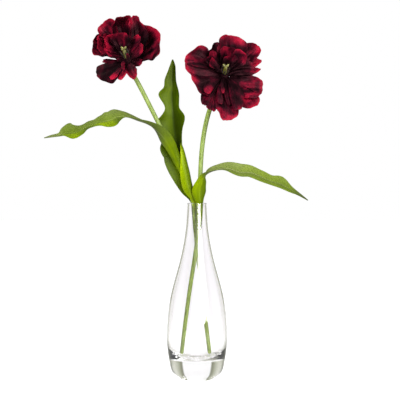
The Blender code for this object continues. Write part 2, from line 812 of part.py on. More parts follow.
def turned(name, rings, sides, frame, home, look):
    """A solid turned round the frame's axis, from (radius, height) pairs in rising order."""
    shape = bmesh.new()
    points = [shape.verts.new((r, 0.0, h)) for r, h in reversed(rings)]
    edges = [shape.edges.new((a, b)) for a, b in zip(points, points[1:])]
    bmesh.ops.spin(
        shape,
        geom=points + edges,
        axis=(0, 0, 1),
        cent=(0, 0, 0),
        steps=sides,
        angle=math.tau,
        use_merge=True,
    )
    bmesh.ops.remove_doubles(shape, verts=shape.verts, dist=1e-4)
    bmesh.ops.recalc_face_normals(shape, faces=shape.faces)
    bmesh.ops.transform(shape, matrix=Matrix.Scale(MM, 4) @ frame, verts=shape.verts)
    return object_from(name, mesh_from(shape, name), home, look)


def egg(name, radius, length, place, lean, frame, home, look):
    """A small ball drawn out to a length, at a place in the frame, leaned to a direction."""
    shape = bmesh.new()
    bmesh.ops.create_uvsphere(shape, u_segments=5, v_segments=4, radius=1.0)
    size = Matrix.Diagonal((radius, radius, length / 2, 1.0))
    turn = Vector(lean).to_track_quat("Z", "Y").to_matrix().to_4x4()
    where = Matrix.Scale(MM, 4) @ frame @ Matrix.Translation(place) @ turn @ size
    bmesh.ops.transform(shape, matrix=where, verts=shape.verts)
    return object_from(name, mesh_from(shape, name), home, look)


def build_pistil(name, bloom, home):
    """A three-sided ovary with a lobed stigma on top, seated on the receptacle."""
    frame = bloom_frame(bloom)
    foot = RECEPTACLE_HEIGHT + GAP
    rings = [
        (0.0, foot),
        (PISTIL_RADIUS * 0.8, foot),
        (PISTIL_RADIUS, foot + PISTIL_HEIGHT * 0.3),
        (PISTIL_RADIUS * 0.92, foot + PISTIL_HEIGHT * 0.7),
        (PISTIL_RADIUS * 0.7, foot + PISTIL_HEIGHT * 0.9),
        (0.0, foot + PISTIL_HEIGHT * 0.94),
    ]
    look = pistil_yellow()
    pieces = [turned(name, rings, 9, frame, home, look)]
    for i in range(STIGMA_LOBES):
        a = math.tau * i / STIGMA_LOBES + 0.5
        lean = Vector((math.cos(a), math.sin(a), 0.8))
        place = lean * 1.9
        place.z = foot + PISTIL_HEIGHT * 0.93
        pieces.append(egg(f"{name} lobe {i}", LOBE_RADIUS, LOBE_LENGTH, place, lean, frame, home, look))
    return fused(name, pieces, home, look)


def build_stamens(name, bloom, home):
    """Six stamens on a thin ring round the pistil's foot."""
    frame = bloom_frame(bloom)
    look = pistil_yellow()
    low = RECEPTACLE_HEIGHT + GAP
    inner = STAMEN_RING_RADIUS - STAMEN_RING_HALF_WIDTH
    outer = STAMEN_RING_RADIUS + STAMEN_RING_HALF_WIDTH
    ring = [(inner, low), (outer, low), (outer, low + 1.2), (inner, low + 1.2), (inner, low)]
    pieces = [turned(name, ring, 12, frame, home, look)]
    for i in range(STAMENS):
        a = math.tau * i / STAMENS + 0.2
        out = Vector((math.cos(a), math.sin(a), 0.0))
        lean = (out * 0.22 + Vector((0, 0, 1))).normalized()
        foot = out * STAMEN_RING_RADIUS + Vector((0, 0, low + 0.5))
        middle = foot + lean * (STAMEN_HEIGHT * 0.3)
        top = foot + lean * (STAMEN_HEIGHT * 0.72)
        filament = egg(
            f"{name} filament {i}", FILAMENT_RADIUS, STAMEN_HEIGHT * 0.7, middle, lean, frame, home, look
        )
        anther = egg(f"{name} anther {i}", ANTHER_RADIUS, ANTHER_LENGTH, top, lean, frame, home, look)
        pieces += [filament, anther]
    return fused(name, pieces, home, look)


def upright_leaf():
    """The left tulip's lower leaf: a sheath that opens into a tall channelled blade behind the stem."""
    return [
        clasp(LEFT_STEM, 164, (-0.4, -0.9, 0), 3, 3, 0.1),
        clasp(LEFT_STEM, 188, (-0.45, -0.88, 0), 5.5, 7, 0.2),
        clasp(LEFT_STEM, 209, (-0.55, -0.83, 0), 6.5, 10, 0.55),
        clasp(LEFT_STEM, 224, (-0.55, -0.83, 0), 6.5, 13, 0.7),
        Station((-8.9, 7.9, 237), (-0.35, -0.94, 0), (12, 25.5), (50, 225)),
        Station((-11.3, 7.8, 246.6), (-0.35, -0.94, 0), (16.5, 26.7), (50, 225)),
        Station((-13.4, 7.8, 256.7), (-0.35, -0.94, 0), (20, 25.8), (45, 211)),
        Station((-15.9, 7.6, 266.7), (-0.35, -0.94, 0), (22.5, 22.6), (45, 185)),
        Station((-18, 7.1, 276.7), (-0.35, -0.94, 0), (24.3, 18.7), (42, 165)),
        Station((-20.4, 7.2, 285.4), (-0.35, -0.94, 0), (24.6, 15.5), (42, 142)),
        Station((-23.4, 8.2, 291.6), (-0.3, -0.95, 0), (22.5, 13.5), (42, 110)),
        Station((-25, 8.8, 299), (-0.28, -0.96, 0), (20, 15.5), (42, 100)),
        Station((-26.9, 9.6, 311.6), (-0.25, -0.97, 0), (21, 18.5), (42, 85)),
        Station((-28.2, 10, 324.2), (-0.2, -0.98, 0), (21, 16.2), (40, 60)),
        Station((-29.5, 10, 333.8), (-0.1, -0.99, 0), (13, 13.2), (38, 50)),
        Station((-30.1, 10, 341.3), (-0.1, -0.99, 0), (13, 10.6), (38, 50)),
        Station((-30.8, 9.8, 354.9), (-0.1, -0.99, 0), (18, 9.2), (38, 50)),
        Station((-30.6, 9.6, 365), (-0.1, -0.99, 0), (10.4, 7.6), (38, 50)),
        Station((-30.6, 9.4, 376), (-0.1, -0.99, 0), (11.6, 5.6), (38, 46)),
        Station((-30.7, 9, 387), (-0.1, -0.99, 0), (6, 4.4), (38, 44)),
        Station((-30.7, 8.7, 393.3), (-0.1, -0.99, 0), (3.3, 3.6), (30, 30)),
        Station((-30.7, 8.5, 400.4), (-0.1, -0.99, 0), (0.8, 0.8), (20, 20)),
    ]


def arching_leaf():
    """The left tulip's upper leaf, which clasps the stem's front and arches over to the left."""
    return [
        clasp(LEFT_STEM, 240, (0.3, 0.95, 0.1), 2.4, 2.4),
        clasp(LEFT_STEM, 256, (0.35, 0.9, 0.15), 5.5, 6.5, 0.2),
        Station((-24.3, -3.4, 269.9), (0.3, 0.92, 0.25), (6.5, 8.5), (75, 75)),
        Station((-31.1, -6.6, 286.0), (0.25, 0.88, 0.4), (8, 12), (70, 66)),
        Station((-38.5, -10.3, 297.6), (0.25, 0.75, 0.6), (10, 14), (54, 54)),
        Station((-46.5, -13, 307.4), (0.25, 0.5, 0.82), (10, 13), (48, 48)),
        Station((-54.5, -14.6, 314.2), (0.15, 0.2, 0.95), (9.5, 11), (42, 42)),
        Station((-63.1, -16, 318.8), (0.1, 0, 1), (9, 9), (40, 40)),
        Station((-72.9, -17.8, 322.0), (0.05, -0.15, 0.98), (9, 9), (36, 36)),
        Station((-82.7, -19.5, 325.6), (0.05, -0.3, 0.94), (9, 9), (34, 34)),
        Station((-90.0, -21, 327.4), (0, -0.5, 0.86), (9, 9.5), (32, 32)),
        Station((-98.5, -22.5, 326.0), (0, -0.75, 0.66), (12, 11.5), (28, 28)),
        Station((-105.2, -23.7, 322.9), (-0.05, -0.8, 0.6), (14, 11), (26, 24)),
        Station((-111.9, -25, 320.6), (-0.05, -0.8, 0.6), (12.5, 13.5), (26, 24)),
        Station((-118.6, -26, 319.3), (-0.05, -0.78, 0.63), (8.5, 11), (24, 24)),
        Station((-124.7, -27, 317.6), (0, -0.7, 0.7), (6.5, 6), (24, 24)),
        Station((-131.3, -28.4, 315.0), (0, -0.62, 0.78), (6.5, 6.5), (24, 24)),
        Station((-137.3, -29.5, 312.5), (0, -0.6, 0.8), (8, 7.6), (24, 24)),
        Station((-143.4, -30.5, 309.0), (0, -0.7, 0.7), (11.8, 10.5), (24, 24)),
        Station((-150.6, -31.5, 306.2), (-0.05, -0.78, 0.62), (12.8, 12), (24, 24)),
        Station((-157.3, -32.5, 305.6), (-0.05, -0.78, 0.62), (9.5, 12), (24, 24)),
        Station((-163.3, -33.5, 304.8), (-0.05, -0.75, 0.66), (5, 10), (24, 24)),
        Station((-168.7, -34.3, 303.0), (0, -0.7, 0.7), (3, 4), (24, 24)),
        Station((-178.3, -36, 301.3), (0, -0.6, 0.8), (2.8, 2.6), (24, 24)),
        Station((-186.7, -37.5, 299.4), (0, -0.5, 0.86), (0.8, 0.8), (20, 20)),
    ]


def drooping_leaf():
    """The right tulip's leaf, which clasps the stem's front and arches over to the right."""
    return [
        clasp(RIGHT_STEM, 180, (-0.6, 0.8, 0), 2.2, 2.2, 0.1),
        clasp(RIGHT_STEM, 200, (-0.4, 0.9, 0), 5, 5, 0.3),
        clasp(RIGHT_STEM, 218, (-0.25, 0.97, 0), 7.5, 7.5, 0.6),
        Station((3.2, -7.6, 234), (-0.1, 1, 0.05), (9.5, 9.8), (50, 32)),
        Station((5.8, -8.6, 244), (-0.25, 0.93, 0.25), (8.4, 8.2), (56, 50)),
        Station((8.5, -9.6, 252.3), (-0.4, 0.5, 0.75), (9, 5.6), (54, 54)),
        Station((15.5, -10.5, 258.1), (-0.3, -0.2, 0.93), (9.5, 7), (48, 48)),
        Station((27.3, -12, 262.1), (-0.15, -0.42, 0.88), (10, 8.6), (42, 42)),
        Station((38.5, -13, 262.7), (0, -0.6, 0.8), (10, 10), (36, 36)),
        Station((53.3, -14.5, 258.1), (0.1, -0.67, 0.74), (11.6, 11.6), (30, 30)),
        Station((65.6, -16, 257.7), (0.12, -0.68, 0.72), (12.8, 12.8), (26, 26)),
        Station((77.9, -17.3, 253.1), (0.15, -0.68, 0.72), (11.8, 11.8), (24, 24)),
        Station((90.2, -18.5, 247.2), (0.16, -0.68, 0.72), (8.6, 8.6), (24, 24)),
        Station((102.5, -19.8, 243.5), (0.18, -0.68, 0.72), (10.2, 10), (24, 24)),
        Station((114.8, -20.8, 236.5), (0.2, -0.66, 0.72), (6.8, 6.8), (24, 24)),
        Station((124.6, -21.5, 231.1), (0.22, -0.64, 0.74), (3.4, 3.4), (24, 24)),
        Station((136.9, -22, 223.3), (0.25, -0.6, 0.75), (0.8, 0.8), (20, 20)),
    ]


def main():
    for old in list(bpy.data.objects):
        bpy.data.objects.remove(old)
    home = collection("tulips in a vase")
    build_vase(home)
    build_stem("left_stem", LEFT_STEM, home)
    build_stem("right_stem", RIGHT_STEM, home)
    build_leaf("left_leaf_upright", upright_leaf(), 7, 0.6, 6.5, 0.4, home)
    build_leaf("left_leaf_arching", arching_leaf(), 5, 0.6, 6.0, 1.2, home)
    build_leaf("right_leaf_drooping", drooping_leaf(), 5, 0.6, 4.0, 0.6, home)
    for side, bloom in (("left", LEFT_BLOOM), ("right", RIGHT_BLOOM)):
        build_bloom(side + "_bloom", bloom, home)
        build_pistil(side + "_pistil", bloom, home)
        build_stamens(side + "_stamens", bloom, home)


main()
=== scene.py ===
"""Two dark red double tulips in a clear glass bottle vase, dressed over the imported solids.

Metres, +Z up, the front towards -Y. Tables and shapes below are in millimetres and degrees, and the
petals and leaves follow the same numbers as the solids that they stand for.
"""

import math
import random
from dataclasses import dataclass

import bpy
from mathutils import Matrix, Vector


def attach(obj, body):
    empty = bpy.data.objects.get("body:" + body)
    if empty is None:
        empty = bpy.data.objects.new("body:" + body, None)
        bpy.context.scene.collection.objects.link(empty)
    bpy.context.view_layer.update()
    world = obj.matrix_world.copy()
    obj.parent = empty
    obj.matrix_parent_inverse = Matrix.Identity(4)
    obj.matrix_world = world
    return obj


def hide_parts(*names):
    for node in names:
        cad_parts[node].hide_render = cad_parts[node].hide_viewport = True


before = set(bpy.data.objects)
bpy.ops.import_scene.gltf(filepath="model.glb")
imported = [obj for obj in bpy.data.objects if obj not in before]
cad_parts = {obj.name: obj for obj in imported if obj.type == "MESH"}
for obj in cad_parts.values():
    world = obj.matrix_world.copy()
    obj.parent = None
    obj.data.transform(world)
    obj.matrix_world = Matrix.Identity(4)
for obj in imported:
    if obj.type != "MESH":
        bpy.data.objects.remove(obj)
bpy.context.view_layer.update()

MM = 0.001

# Sizes shared with the solids

VASE_HEIGHT = 220.0
VASE_BELLY_RADIUS = 38.0
VASE_MOUTH_RADIUS = 12.0
VASE_FOOT_RADIUS = 19.0
VASE_WALL = 1.8
VASE_OUTLINE = [  # share of the height, share of the belly's radius
    (0.012, 0.60),
    (0.027, 0.74),
    (0.055, 0.855),
    (0.108, 0.92),
    (0.160, 0.965),
    (0.230, 1.0),
    (0.335, 0.976),
    (0.420, 0.93),
    (0.505, 0.832),
    (0.565, 0.737),
    (0.660, 0.582),
    (0.755, 0.458),
    (0.876, 0.355),
]
# the wall's thickness by height: it thickens towards the foot
WALL_BY_HEIGHT = [(0.0, 9.0), (30.0, 3.6), (38.0, 2.6), (50.0, 2.0), (70.0, VASE_WALL)]

STEM_FOOT_RADIUS = 2.5
STEM_TOP_RADIUS = 3.1
STEM_STEPS = 24  # of the solids' stems, which the leaves' sheaths are measured from
LEFT_STEM = [
    (16.5, 1.6, 25.6),
    (12.6, 1.9, 58.0),
    (7.6, 2.3, 98.0),
    (3.6, 2.8, 133.0),
    (-0.4, 3.3, 168.0),
    (-2.4, 3.1, 197.0),
    (-4.3, 2.6, 219.0),
    (-10.6, 2.4, 238.0),
    (-18.6, 1.4, 261.0),
    (-31.8, 0.4, 288.0),
    (-47.2, -1.0, 318.0),
    (-61.8, -3.0, 347.0),
    (-73.4, -5.2, 369.5),
    (-81.8, -9.5, 384.4),
    (-84.0, -14.2, 390.8),
]
RIGHT_STEM = [
    (-19.9, -1.2, 25.95),
    (-16.2, -1.8, 58.0),
    (-9.6, -2.6, 108.0),
    (-4.4, -3.2, 141.0),
    (-0.4, -3.6, 168.0),
    (2.2, -3.6, 197.0),
    (3.2, -3.2, 220.0),
    (3.7, -2.4, 242.0),
    (4.3, -1.6, 259.0),
    (5.8, -0.4, 284.0),
    (9.2, 0.9, 310.0),
    (15.2, 1.2, 335.0),
    (24.4, -0.6, 357.5),
    (32.3, -6.9, 369.2),
    (33.1, -13.8, 373.8),
]

GAP = 0.3  # between neighbouring solids
LEAF_THICKNESS = 0.8
LEAF_WAVE = 0.6  # height of the waves in a leaf's margins
LEAF_SCALLOP = 0.16  # how much of its width comes and goes with them
MIDRIB_DEPTH, MIDRIB_WIDTH = 0.5, 0.1  # the width is a share of the half blade
PETAL_THICKNESS = 0.8
PETAL_ROOT_RADIUS = 3.8
RECEPTACLE_RADIUS = 6.4
RECEPTACLE_HEIGHT = 9.0
SPIRAL_STEP = 0.13  # along the axis, from one petal's root to the next
WHORL_LEVELS = (0.0, 0.8, 1.6)  # of the outer, middle and inner petals' roots
PETAL_FULLNESS = 0.09  # share that the margin stands past a true round at its corners
CLAW = 0.14  # the root's half width, as a share of the waist's width
LEAST_CLAW = 2.0
# heights of the relief in a petal 30 mm wide
BROAD_FOLD, FINE_FOLD, CREASE, RIM_RUFFLE, ROLL = 1.2, 0.6, 0.8, 0.8, 0.4
PISTIL_HEIGHT = 15.0
PISTIL_RADIUS = 2.3
LOBE_RADIUS = 1.6
LOBE_LENGTH = 6.4
STAMEN_HEIGHT = 11.5
STAMEN_RING_RADIUS = 3.05


@dataclass
class Petal:
    """One petal as a net of points in its bloom's own frame: right, up as faced, and along the axis.

    Left and right are as seen from its root, looking to its tip at its inner face.
    """

    left: tuple  # of its waist
    middle: tuple
    right: tuple
    left_corner: tuple  # of the net, past the petal's rounded shoulder
    tip: tuple
    right_corner: tuple
    wave: float  # height of the ruffles in its margin
    blush_and_light: float  # how bright and wide the crimson of its margin is, and how light the whole petal is: partly its own colour, partly painted light where light catches it


@dataclass
class Station:
    """A place on a leaf's middle line, the way its upper face looks there, and its section."""

    place: tuple
    facing: tuple
    half_widths: tuple
    cups: tuple


@dataclass
class Bloom:
    centre: tuple
    axis: tuple
    seed: int
    outer: list
    middle: list
    inner: list


LEFT_BLOOM = Bloom(
    centre=(-84.2, -14.6, 391.4),
    axis=(-0.27, -0.56, 0.78),
    seed=6,
    outer=[
        # top
        Petal((-30.2, 33.5, 27), (-23.2, 47.2, 21), (-1.6, 34.4, 26),
              (-18.4, 36.4, 46), (-11.9, 43.7, 45), (7.9, 42.1, 42.8), 0.4, 0.9),
        # top right
        Petal((-2.2, 29.9, 23), (1.8, 37.6, 15), (19, 23.4, 17),
              (-10.6, 51.4, 46.8), (3.5, 48.6, 38), (16.1, 36.5, 37.1), 0.5, 0.75),
        # right
        Petal((2.8, 35.9, 16), (11.4, 33.9, 5), (30.1, -0.9, 5),
              (0.4, 54.2, 35), (32.5, 37.2, 22), (58, -7.7, 18.7), 1.2, 0.9),
        # upper left
        Petal((-35, 24, 20), (-33.7, 35, 13), (-25.6, 40.4, 18),
              (-51, 29.8, 34.3), (-47.4, 46.7, 34), (-20.5, 48.6, 50.7), 0.8, 0.9),
        # left
        Petal((-28.6, 8.3, 6), (-39.5, 31, 4), (-37.9, 37, 12),
              (-42.9, -4.5, 14.2), (-56.7, 22.3, 18), (-49.7, 39.5, 35.4), 0.6, 0.5),
        # lower left, drooping
        Petal((-8.4, -17.2, -5), (-19.1, -8.2, -0), (-18.2, 2.5, 4),
              (-17, -33.3, -9.9), (-43.7, -10, -5), (-50.8, 14.3, 1.9), 1.4, 0.3),
        # lower left, small
        Petal((-16.8, 0.2, 1), (-18.3, 4.5, 2), (-19.3, 7.6, 3),
              (-44.4, 5.6, 1.5), (-40.8, 9.8, 2), (-39.4, 11, 6), 0.5, 0.6),
        # lower, crimson lobe
        Petal((-7.4, -10.6, -2), (-10.7, -11.2, -0), (-17.2, -7.6, -2),
              (-9.5, -19.2, -4.6), (-13.1, -24.1, -5), (-26.4, -20.4, -6.5), 0.6, 1),
        # lower, second lobe
        Petal((-2, -3.5, -4), (-6, -4.7, -3), (-9.4, -6.7, -3),
              (-2.2, -7, -8.7), (-6.1, -19.1, -9), (-14.8, -19, -7.4), 0.6, 0.9),
        # below, along the stem
        Petal((8.6, -1.8, -2), (5, -7.6, -1), (-4.1, -2.6, -3),
              (12.5, -3.6, -10.3), (7.5, -12.2, -14), (-1.8, -9.5, -11.6), 0.5, 0.9),
        # lower right, small
        Petal((11.2, 6.8, 4), (8.2, 2.2, 2), (4.2, -0.7, -1),
              (20.9, 6.5, 3.3), (17.1, -2.2, -0), (5.3, 2.6, -7), 0.5, 0.7),
    ],
    middle=[
        # left, second layer
        Petal((-24.5, 8.6, 10), (-32.7, 28.7, 8), (-32.6, 34.1, 15),
              (-35.6, -7.6, 19.6), (-45.2, 19.6, 22), (-44.4, 26.1, 37.6), 0.8, 0.65),
        # left, third layer
        Petal((-18.9, 7.3, 12), (-26, 25, 10), (-25.8, 30.2, 17),
              (-21.6, -15.2, 25.5), (-34.6, 16.1, 25), (-27.9, 19.1, 43.4), 0.8, 0.7),
        # right, strip
        Petal((5.7, 10.3, 13), (7.8, 8, 10), (13.4, 2.2, 9),
              (14.6, 14.7, 26.3), (18.4, 14.1, 20), (29.5, 4.1, 19.1), 0.5, 0.75),
        # front, drooping strip
        Petal((-1.2, -4.7, 7), (-3.1, -6.1, 8), (-6.6, -4.2, 7),
              (3.7, -15.3, 3.5), (1.6, -18.2, 4), (-3.3, -14.6, 3.5), 0.2, 0.5),
    ],
    inner=[
        # inner top
        Petal((-21.2, 15, 19), (-15.2, 20.7, 15), (-0.5, 13, 19),
              (-23.6, 17.8, 36.4), (-11, 23.9, 31), (13.4, 16.1, 32.6), 1.2, 0.45),
        # inner upper left
        Petal((-21.8, 9.8, 15), (-22.3, 21.5, 12), (-16.6, 22.3, 17),
              (-24.6, -2.2, 31.6), (-30, 18.6, 29), (-15.2, 16.9, 43.7), 1, 0.7),
        # inner left
        Petal((-13.4, 3.1, 10), (-18.7, 14.3, 9), (-20.1, 17.4, 13),
              (-21.9, -9.3, 15.7), (-25.9, 2.3, 20), (-27.5, 1.8, 32.9), 0.8, 0.6),
        # inner right, strip
        Petal((-0.1, 14.5, 18), (-0, 16.2, 14), (5.7, 10.3, 13),
              (11.6, 18.8, 32.3), (13.9, 21.9, 27), (25.7, 9.7, 27.6), 0.5, 0.75),
        # inner front
        Petal((-0.3, 0.5, 8), (-8.9, 5.8, 8), (-15.1, 9.3, 9),
              (-5, -9.2, 8.1), (-15.4, 0.2, 9), (-27.7, 1.7, 13.2), 0.5, 0.3),
        # inner, upright
        Petal((5.4, -10.7, 12), (9.2, -12.6, 13), (11.1, -11.2, 12),
              (11.2, -15.7, 25.4), (10.8, -11.4, 23), (17.4, -18.7, 25.4), 0.2, 0.6),
    ],
)
RIGHT_BLOOM = Bloom(
    centre=(33.2, -14.4, 374.2),
    axis=(0.10, -0.83, 0.55),
    seed=2,
    outer=[
        # left, upper half
        Petal((-24.2, 6.6, 12), (-25.2, 25, 9), (-15.8, 24.9, 15),
              (-56.1, -0.4, 16.8), (-42.6, 27.6, 17), (-20.6, 38.1, 24.5), 1, 0.75),
        # left, lower half
        Petal((-24.9, -31.5, 5), (-26.6, -1.2, 6), (-22.6, 10.6, 11),
              (-38, -12.3, 13.3), (-47.5, 1.5, 12), (-51.9, 22, 19.2), 1, 0.85),
        # lower left, small
        Petal((-11.8, -23.6, 3), (-17.7, -21.4, 2), (-23.9, -18.3, 4),
              (-25, -44.4, 1), (-28.1, -41.5, -0), (-35.1, -34.3, 2.3), 0.8, 0.35),
        # lower left, lobe
        Petal((-6.8, -24.3, 2), (-12.9, -25.2, 1), (-17.9, -24.5, 2),
              (-11, -51.1, -0), (-18.2, -49.8, -1), (-29.1, -46.6, -0), 0.8, 0.65),
        # bottom
        Petal((13.1, -34.2, 5), (0.1, -32, 2), (-12.1, -32.9, 5),
              (19.9, -63.1, 6.4), (-2.1, -63.3, -0), (-12.1, -62.9, 2.6), 1.8, 0.75),
        # lower right, lobe
        Petal((27.5, -20.8, 8), (21.2, -26.3, 5), (11.8, -33.4, 6),
              (47.7, -36.2, 7.7), (32.9, -47.8, 5), (17.8, -57.3, 7), 1.6, 0.75),
        # lower right
        Petal((22.2, -3.7, 12), (19.5, -13.9, 7), (16.6, -31.8, 8),
              (45.9, -2.1, 13.2), (45.4, -19, 10), (46.2, -44, 11.8), 1.2, 0.75),
        # right, upper tooth
        Petal((25.6, 21.7, 12), (24.2, 13.8, 8), (23.5, 5.9, 8),
              (47.1, 21.2, 13.9), (47.3, 17.3, 12), (42.3, 7.3, 12.5), 0.8, 1),
        # right, lower tooth
        Petal((25, 9.8, 9), (23.8, 5.9, 6), (21.7, -2.9, 7),
              (42.2, 7.2, 11.5), (45.5, 7.8, 9), (35.9, -2.4, 10.7), 0.6, 0.8),
        # upper right
        Petal((18.3, 28.8, 15), (23.6, 22.6, 9), (29.9, 11.5, 11),
              (25.7, 40, 26.3), (42, 37, 22), (51.8, 23, 19.2), 1.8, 0.75),
        # top
        Petal((-8.6, 23.4, 17), (6.2, 28.7, 11), (22.4, 20.8, 17),
              (-5, 40.6, 32.2), (7, 47.5, 27), (39, 35.5, 32.2), 1.8, 0.6),
        # upper left
        Petal((-19.8, 18.6, 13), (-11.6, 22, 9), (-5.5, 23.6, 11),
              (-19.1, 21.6, 27.6), (-13.8, 31.9, 24), (2.1, 45.3, 28.8), 1.2, 0.5),
    ],
    middle=[
        # right, broad
        Petal((17.3, 15.2, 14), (17.4, 8.1, 9), (15.2, -3, 9),
              (33.8, 18.3, 16.7), (38.1, 6, 12), (35.6, -10.5, 10.2), 1, 0.35),
        # lower right, tongue
        Petal((18.2, -23.3, 11), (9.4, -24.2, 12), (2.6, -19.6, 10),
              (22.1, -53.4, 5.3), (11.9, -56.4, 10), (3.8, -59, 5.9), 0.8, 0.65),
        # upper left, curled
        Petal((-20.8, 10.5, 17), (-12.5, 14.7, 12), (-8.9, 17.9, 16),
              (-20.6, 13, 26), (-17.1, 21.4, 25), (-7.3, 24.4, 26.6), 1, 0.5),
        # lower, narrow left
        Petal((-5.2, -27.5, 8), (-8.4, -26.7, 9), (-11.3, -26, 8),
              (-2, -42.9, 6.1), (-8.1, -44.4, 6), (-12.7, -40.9, 6.1), 0.6, 0.6),
        # lower, narrow right
        Petal((3.9, -24.2, 6), (0.5, -26.6, 7), (-2.4, -25.9, 6),
              (9.6, -37.8, 3.9), (3.6, -45, 5), (-1.7, -42.8, 3.9), 0.6, 0.4),
        # lower left, tongue
        Petal((-11.8, -18.3, 12), (-16.1, -16.4, 13.5), (-20, -13, 12),
              (-18.8, -33.7, 11.3), (-25.4, -34.7, 14), (-32.1, -25, 11.3), 0.4, 0.45),
    ],
    inner=[
        # inner upper right
        Petal((5.6, 14.9, 18), (12.4, 14.3, 13), (17.7, 6.4, 15),
              (9.3, 23.2, 30.2), (22.4, 21.2, 27), (32.9, 12, 24.4), 1.4, 0.75),
        # inner top
        Petal((-5.6, 13.9, 17), (2.7, 18.9, 13), (9.4, 14.2, 17),
              (-7.5, 20.5, 33.1), (3.9, 26.4, 29), (19.9, 23.9, 33.1), 1.6, 0.4),
        # inner, over the pistil
        Petal((-3.2, 8.5, 14), (4.8, 11.8, 12), (10.5, 8.7, 14),
              (-0.7, 15.4, 26.4), (7.6, 17.9, 24), (20.3, 18.6, 26.4), 1.4, 0.6),
        # inner left, small
        Petal((-9.7, 2.1, 12), (-10.3, 9.2, 11), (-9.1, 13.1, 14),
              (-18.8, 4.5, 18.4), (-19.1, 9.7, 18), (-16.8, 20.7, 24.8), 0.6, 0.7),
        # inner lower, thin
        Petal((-3, -17.4, 11), (-5, -18.2, 12), (-6.7, -17.4, 11),
              (1.1, -27.5, 10), (-4.6, -31.3, 11), (-6.6, -27.5, 10), 0.3, 0.6),
    ],
)

# Small sums


def smooth_through(values, share):
    """The value at share, from 0 to 1, of a smooth curve through evenly spaced vectors."""
    last = len(values) - 1
    here = min(share * last, last - 1e-9)
    i = int(here)
    u = here - i
    before = values[i - 1] if i else values[0] * 2 - values[1]
    after = values[i + 2] if i + 2 <= last else values[last] * 2 - values[last - 1]
    start, end = values[i], values[i + 1]
    return (
        start
        + (end - before) * (0.5 * u)
        + (before * 2 - start * 5 + end * 4 - after) * (0.5 * u * u)
        + (start * 3 - before - end * 3 + after) * (0.5 * u * u * u)
    )


def between(pairs, x):
    """The value at x on straight lines through (x, value) pairs in rising order."""
    if x <= pairs[0][0]:
        return pairs[0][1]
    for (x0, y0), (x1, y1) in zip(pairs, pairs[1:]):
        if x <= x1:
            return y0 + (y1 - y0) * (x - x0) / (x1 - x0)
    return pairs[-1][1]


def eased(x):
    x = min(max(x, 0.0), 1.0)
    return x * x * (3 - 2 * x)


def linear(code):
    """An sRGB hex colour as the linear red, green, blue and alpha that Blender takes."""
    parts = [int(code[i : i + 2], 16) / 255 for i in (1, 3, 5)]
    return (*(c / 12.92 if c <= 0.04045 else ((c + 0.055) / 1.055) ** 2.4 for c in parts), 1.0)


# Finishes


def node(tree, kind, inputs=None, stops=(), **settings):
    """Adds a node, sets it up, gives a ramp its (place, hex colour) stops, and gives each input a
    value or the socket that feeds it."""
    made = tree.nodes.new("ShaderNode" + kind)
    for name, value in settings.items():
        setattr(made, name, value)
    if stops:
        line = made.color_ramp
        while len(line.elements) < len(stops):
            line.elements.new(0.5)
        for element, (place, code) in zip(line.elements, stops):
            element.position = place
            element.color = linear(code)
    for name, value in (inputs or {}).items():
        if isinstance(value, bpy.types.NodeSocket):
            tree.links.new(value, made.inputs[name])
        else:
            made.inputs[name].default_value = value
    return made


def weighed(tree, start, *parts):
    """The sum of a start and of each part times its weight."""
    for part, weight in parts:
        start = node(tree, "Math", {0: part, 1: weight, 2: start}, operation="MULTIPLY_ADD").outputs[0]
    return start


def finish(name, inputs):
    """A new material, its node tree, and its Principled shader with these inputs set."""
    made = bpy.data.materials.new(name)
    made.use_nodes = True
    shader = made.node_tree.nodes["Principled BSDF"]
    for socket, value in inputs.items():
        shader.inputs[socket].default_value = value
    return made, made.node_tree, shader


def laid_on(tree, shader, height, strength, depth, colour=None):
    """Gives the shader a relief, of a strength and a depth in millimetres, and its colour."""
    relief = node(tree, "Bump", {"Strength": strength, "Distance": depth * MM, "Height": height})
    tree.links.new(relief.outputs["Normal"], shader.inputs["Normal"])
    if colour:
        tree.links.new(colour, shader.inputs["Base Color"])


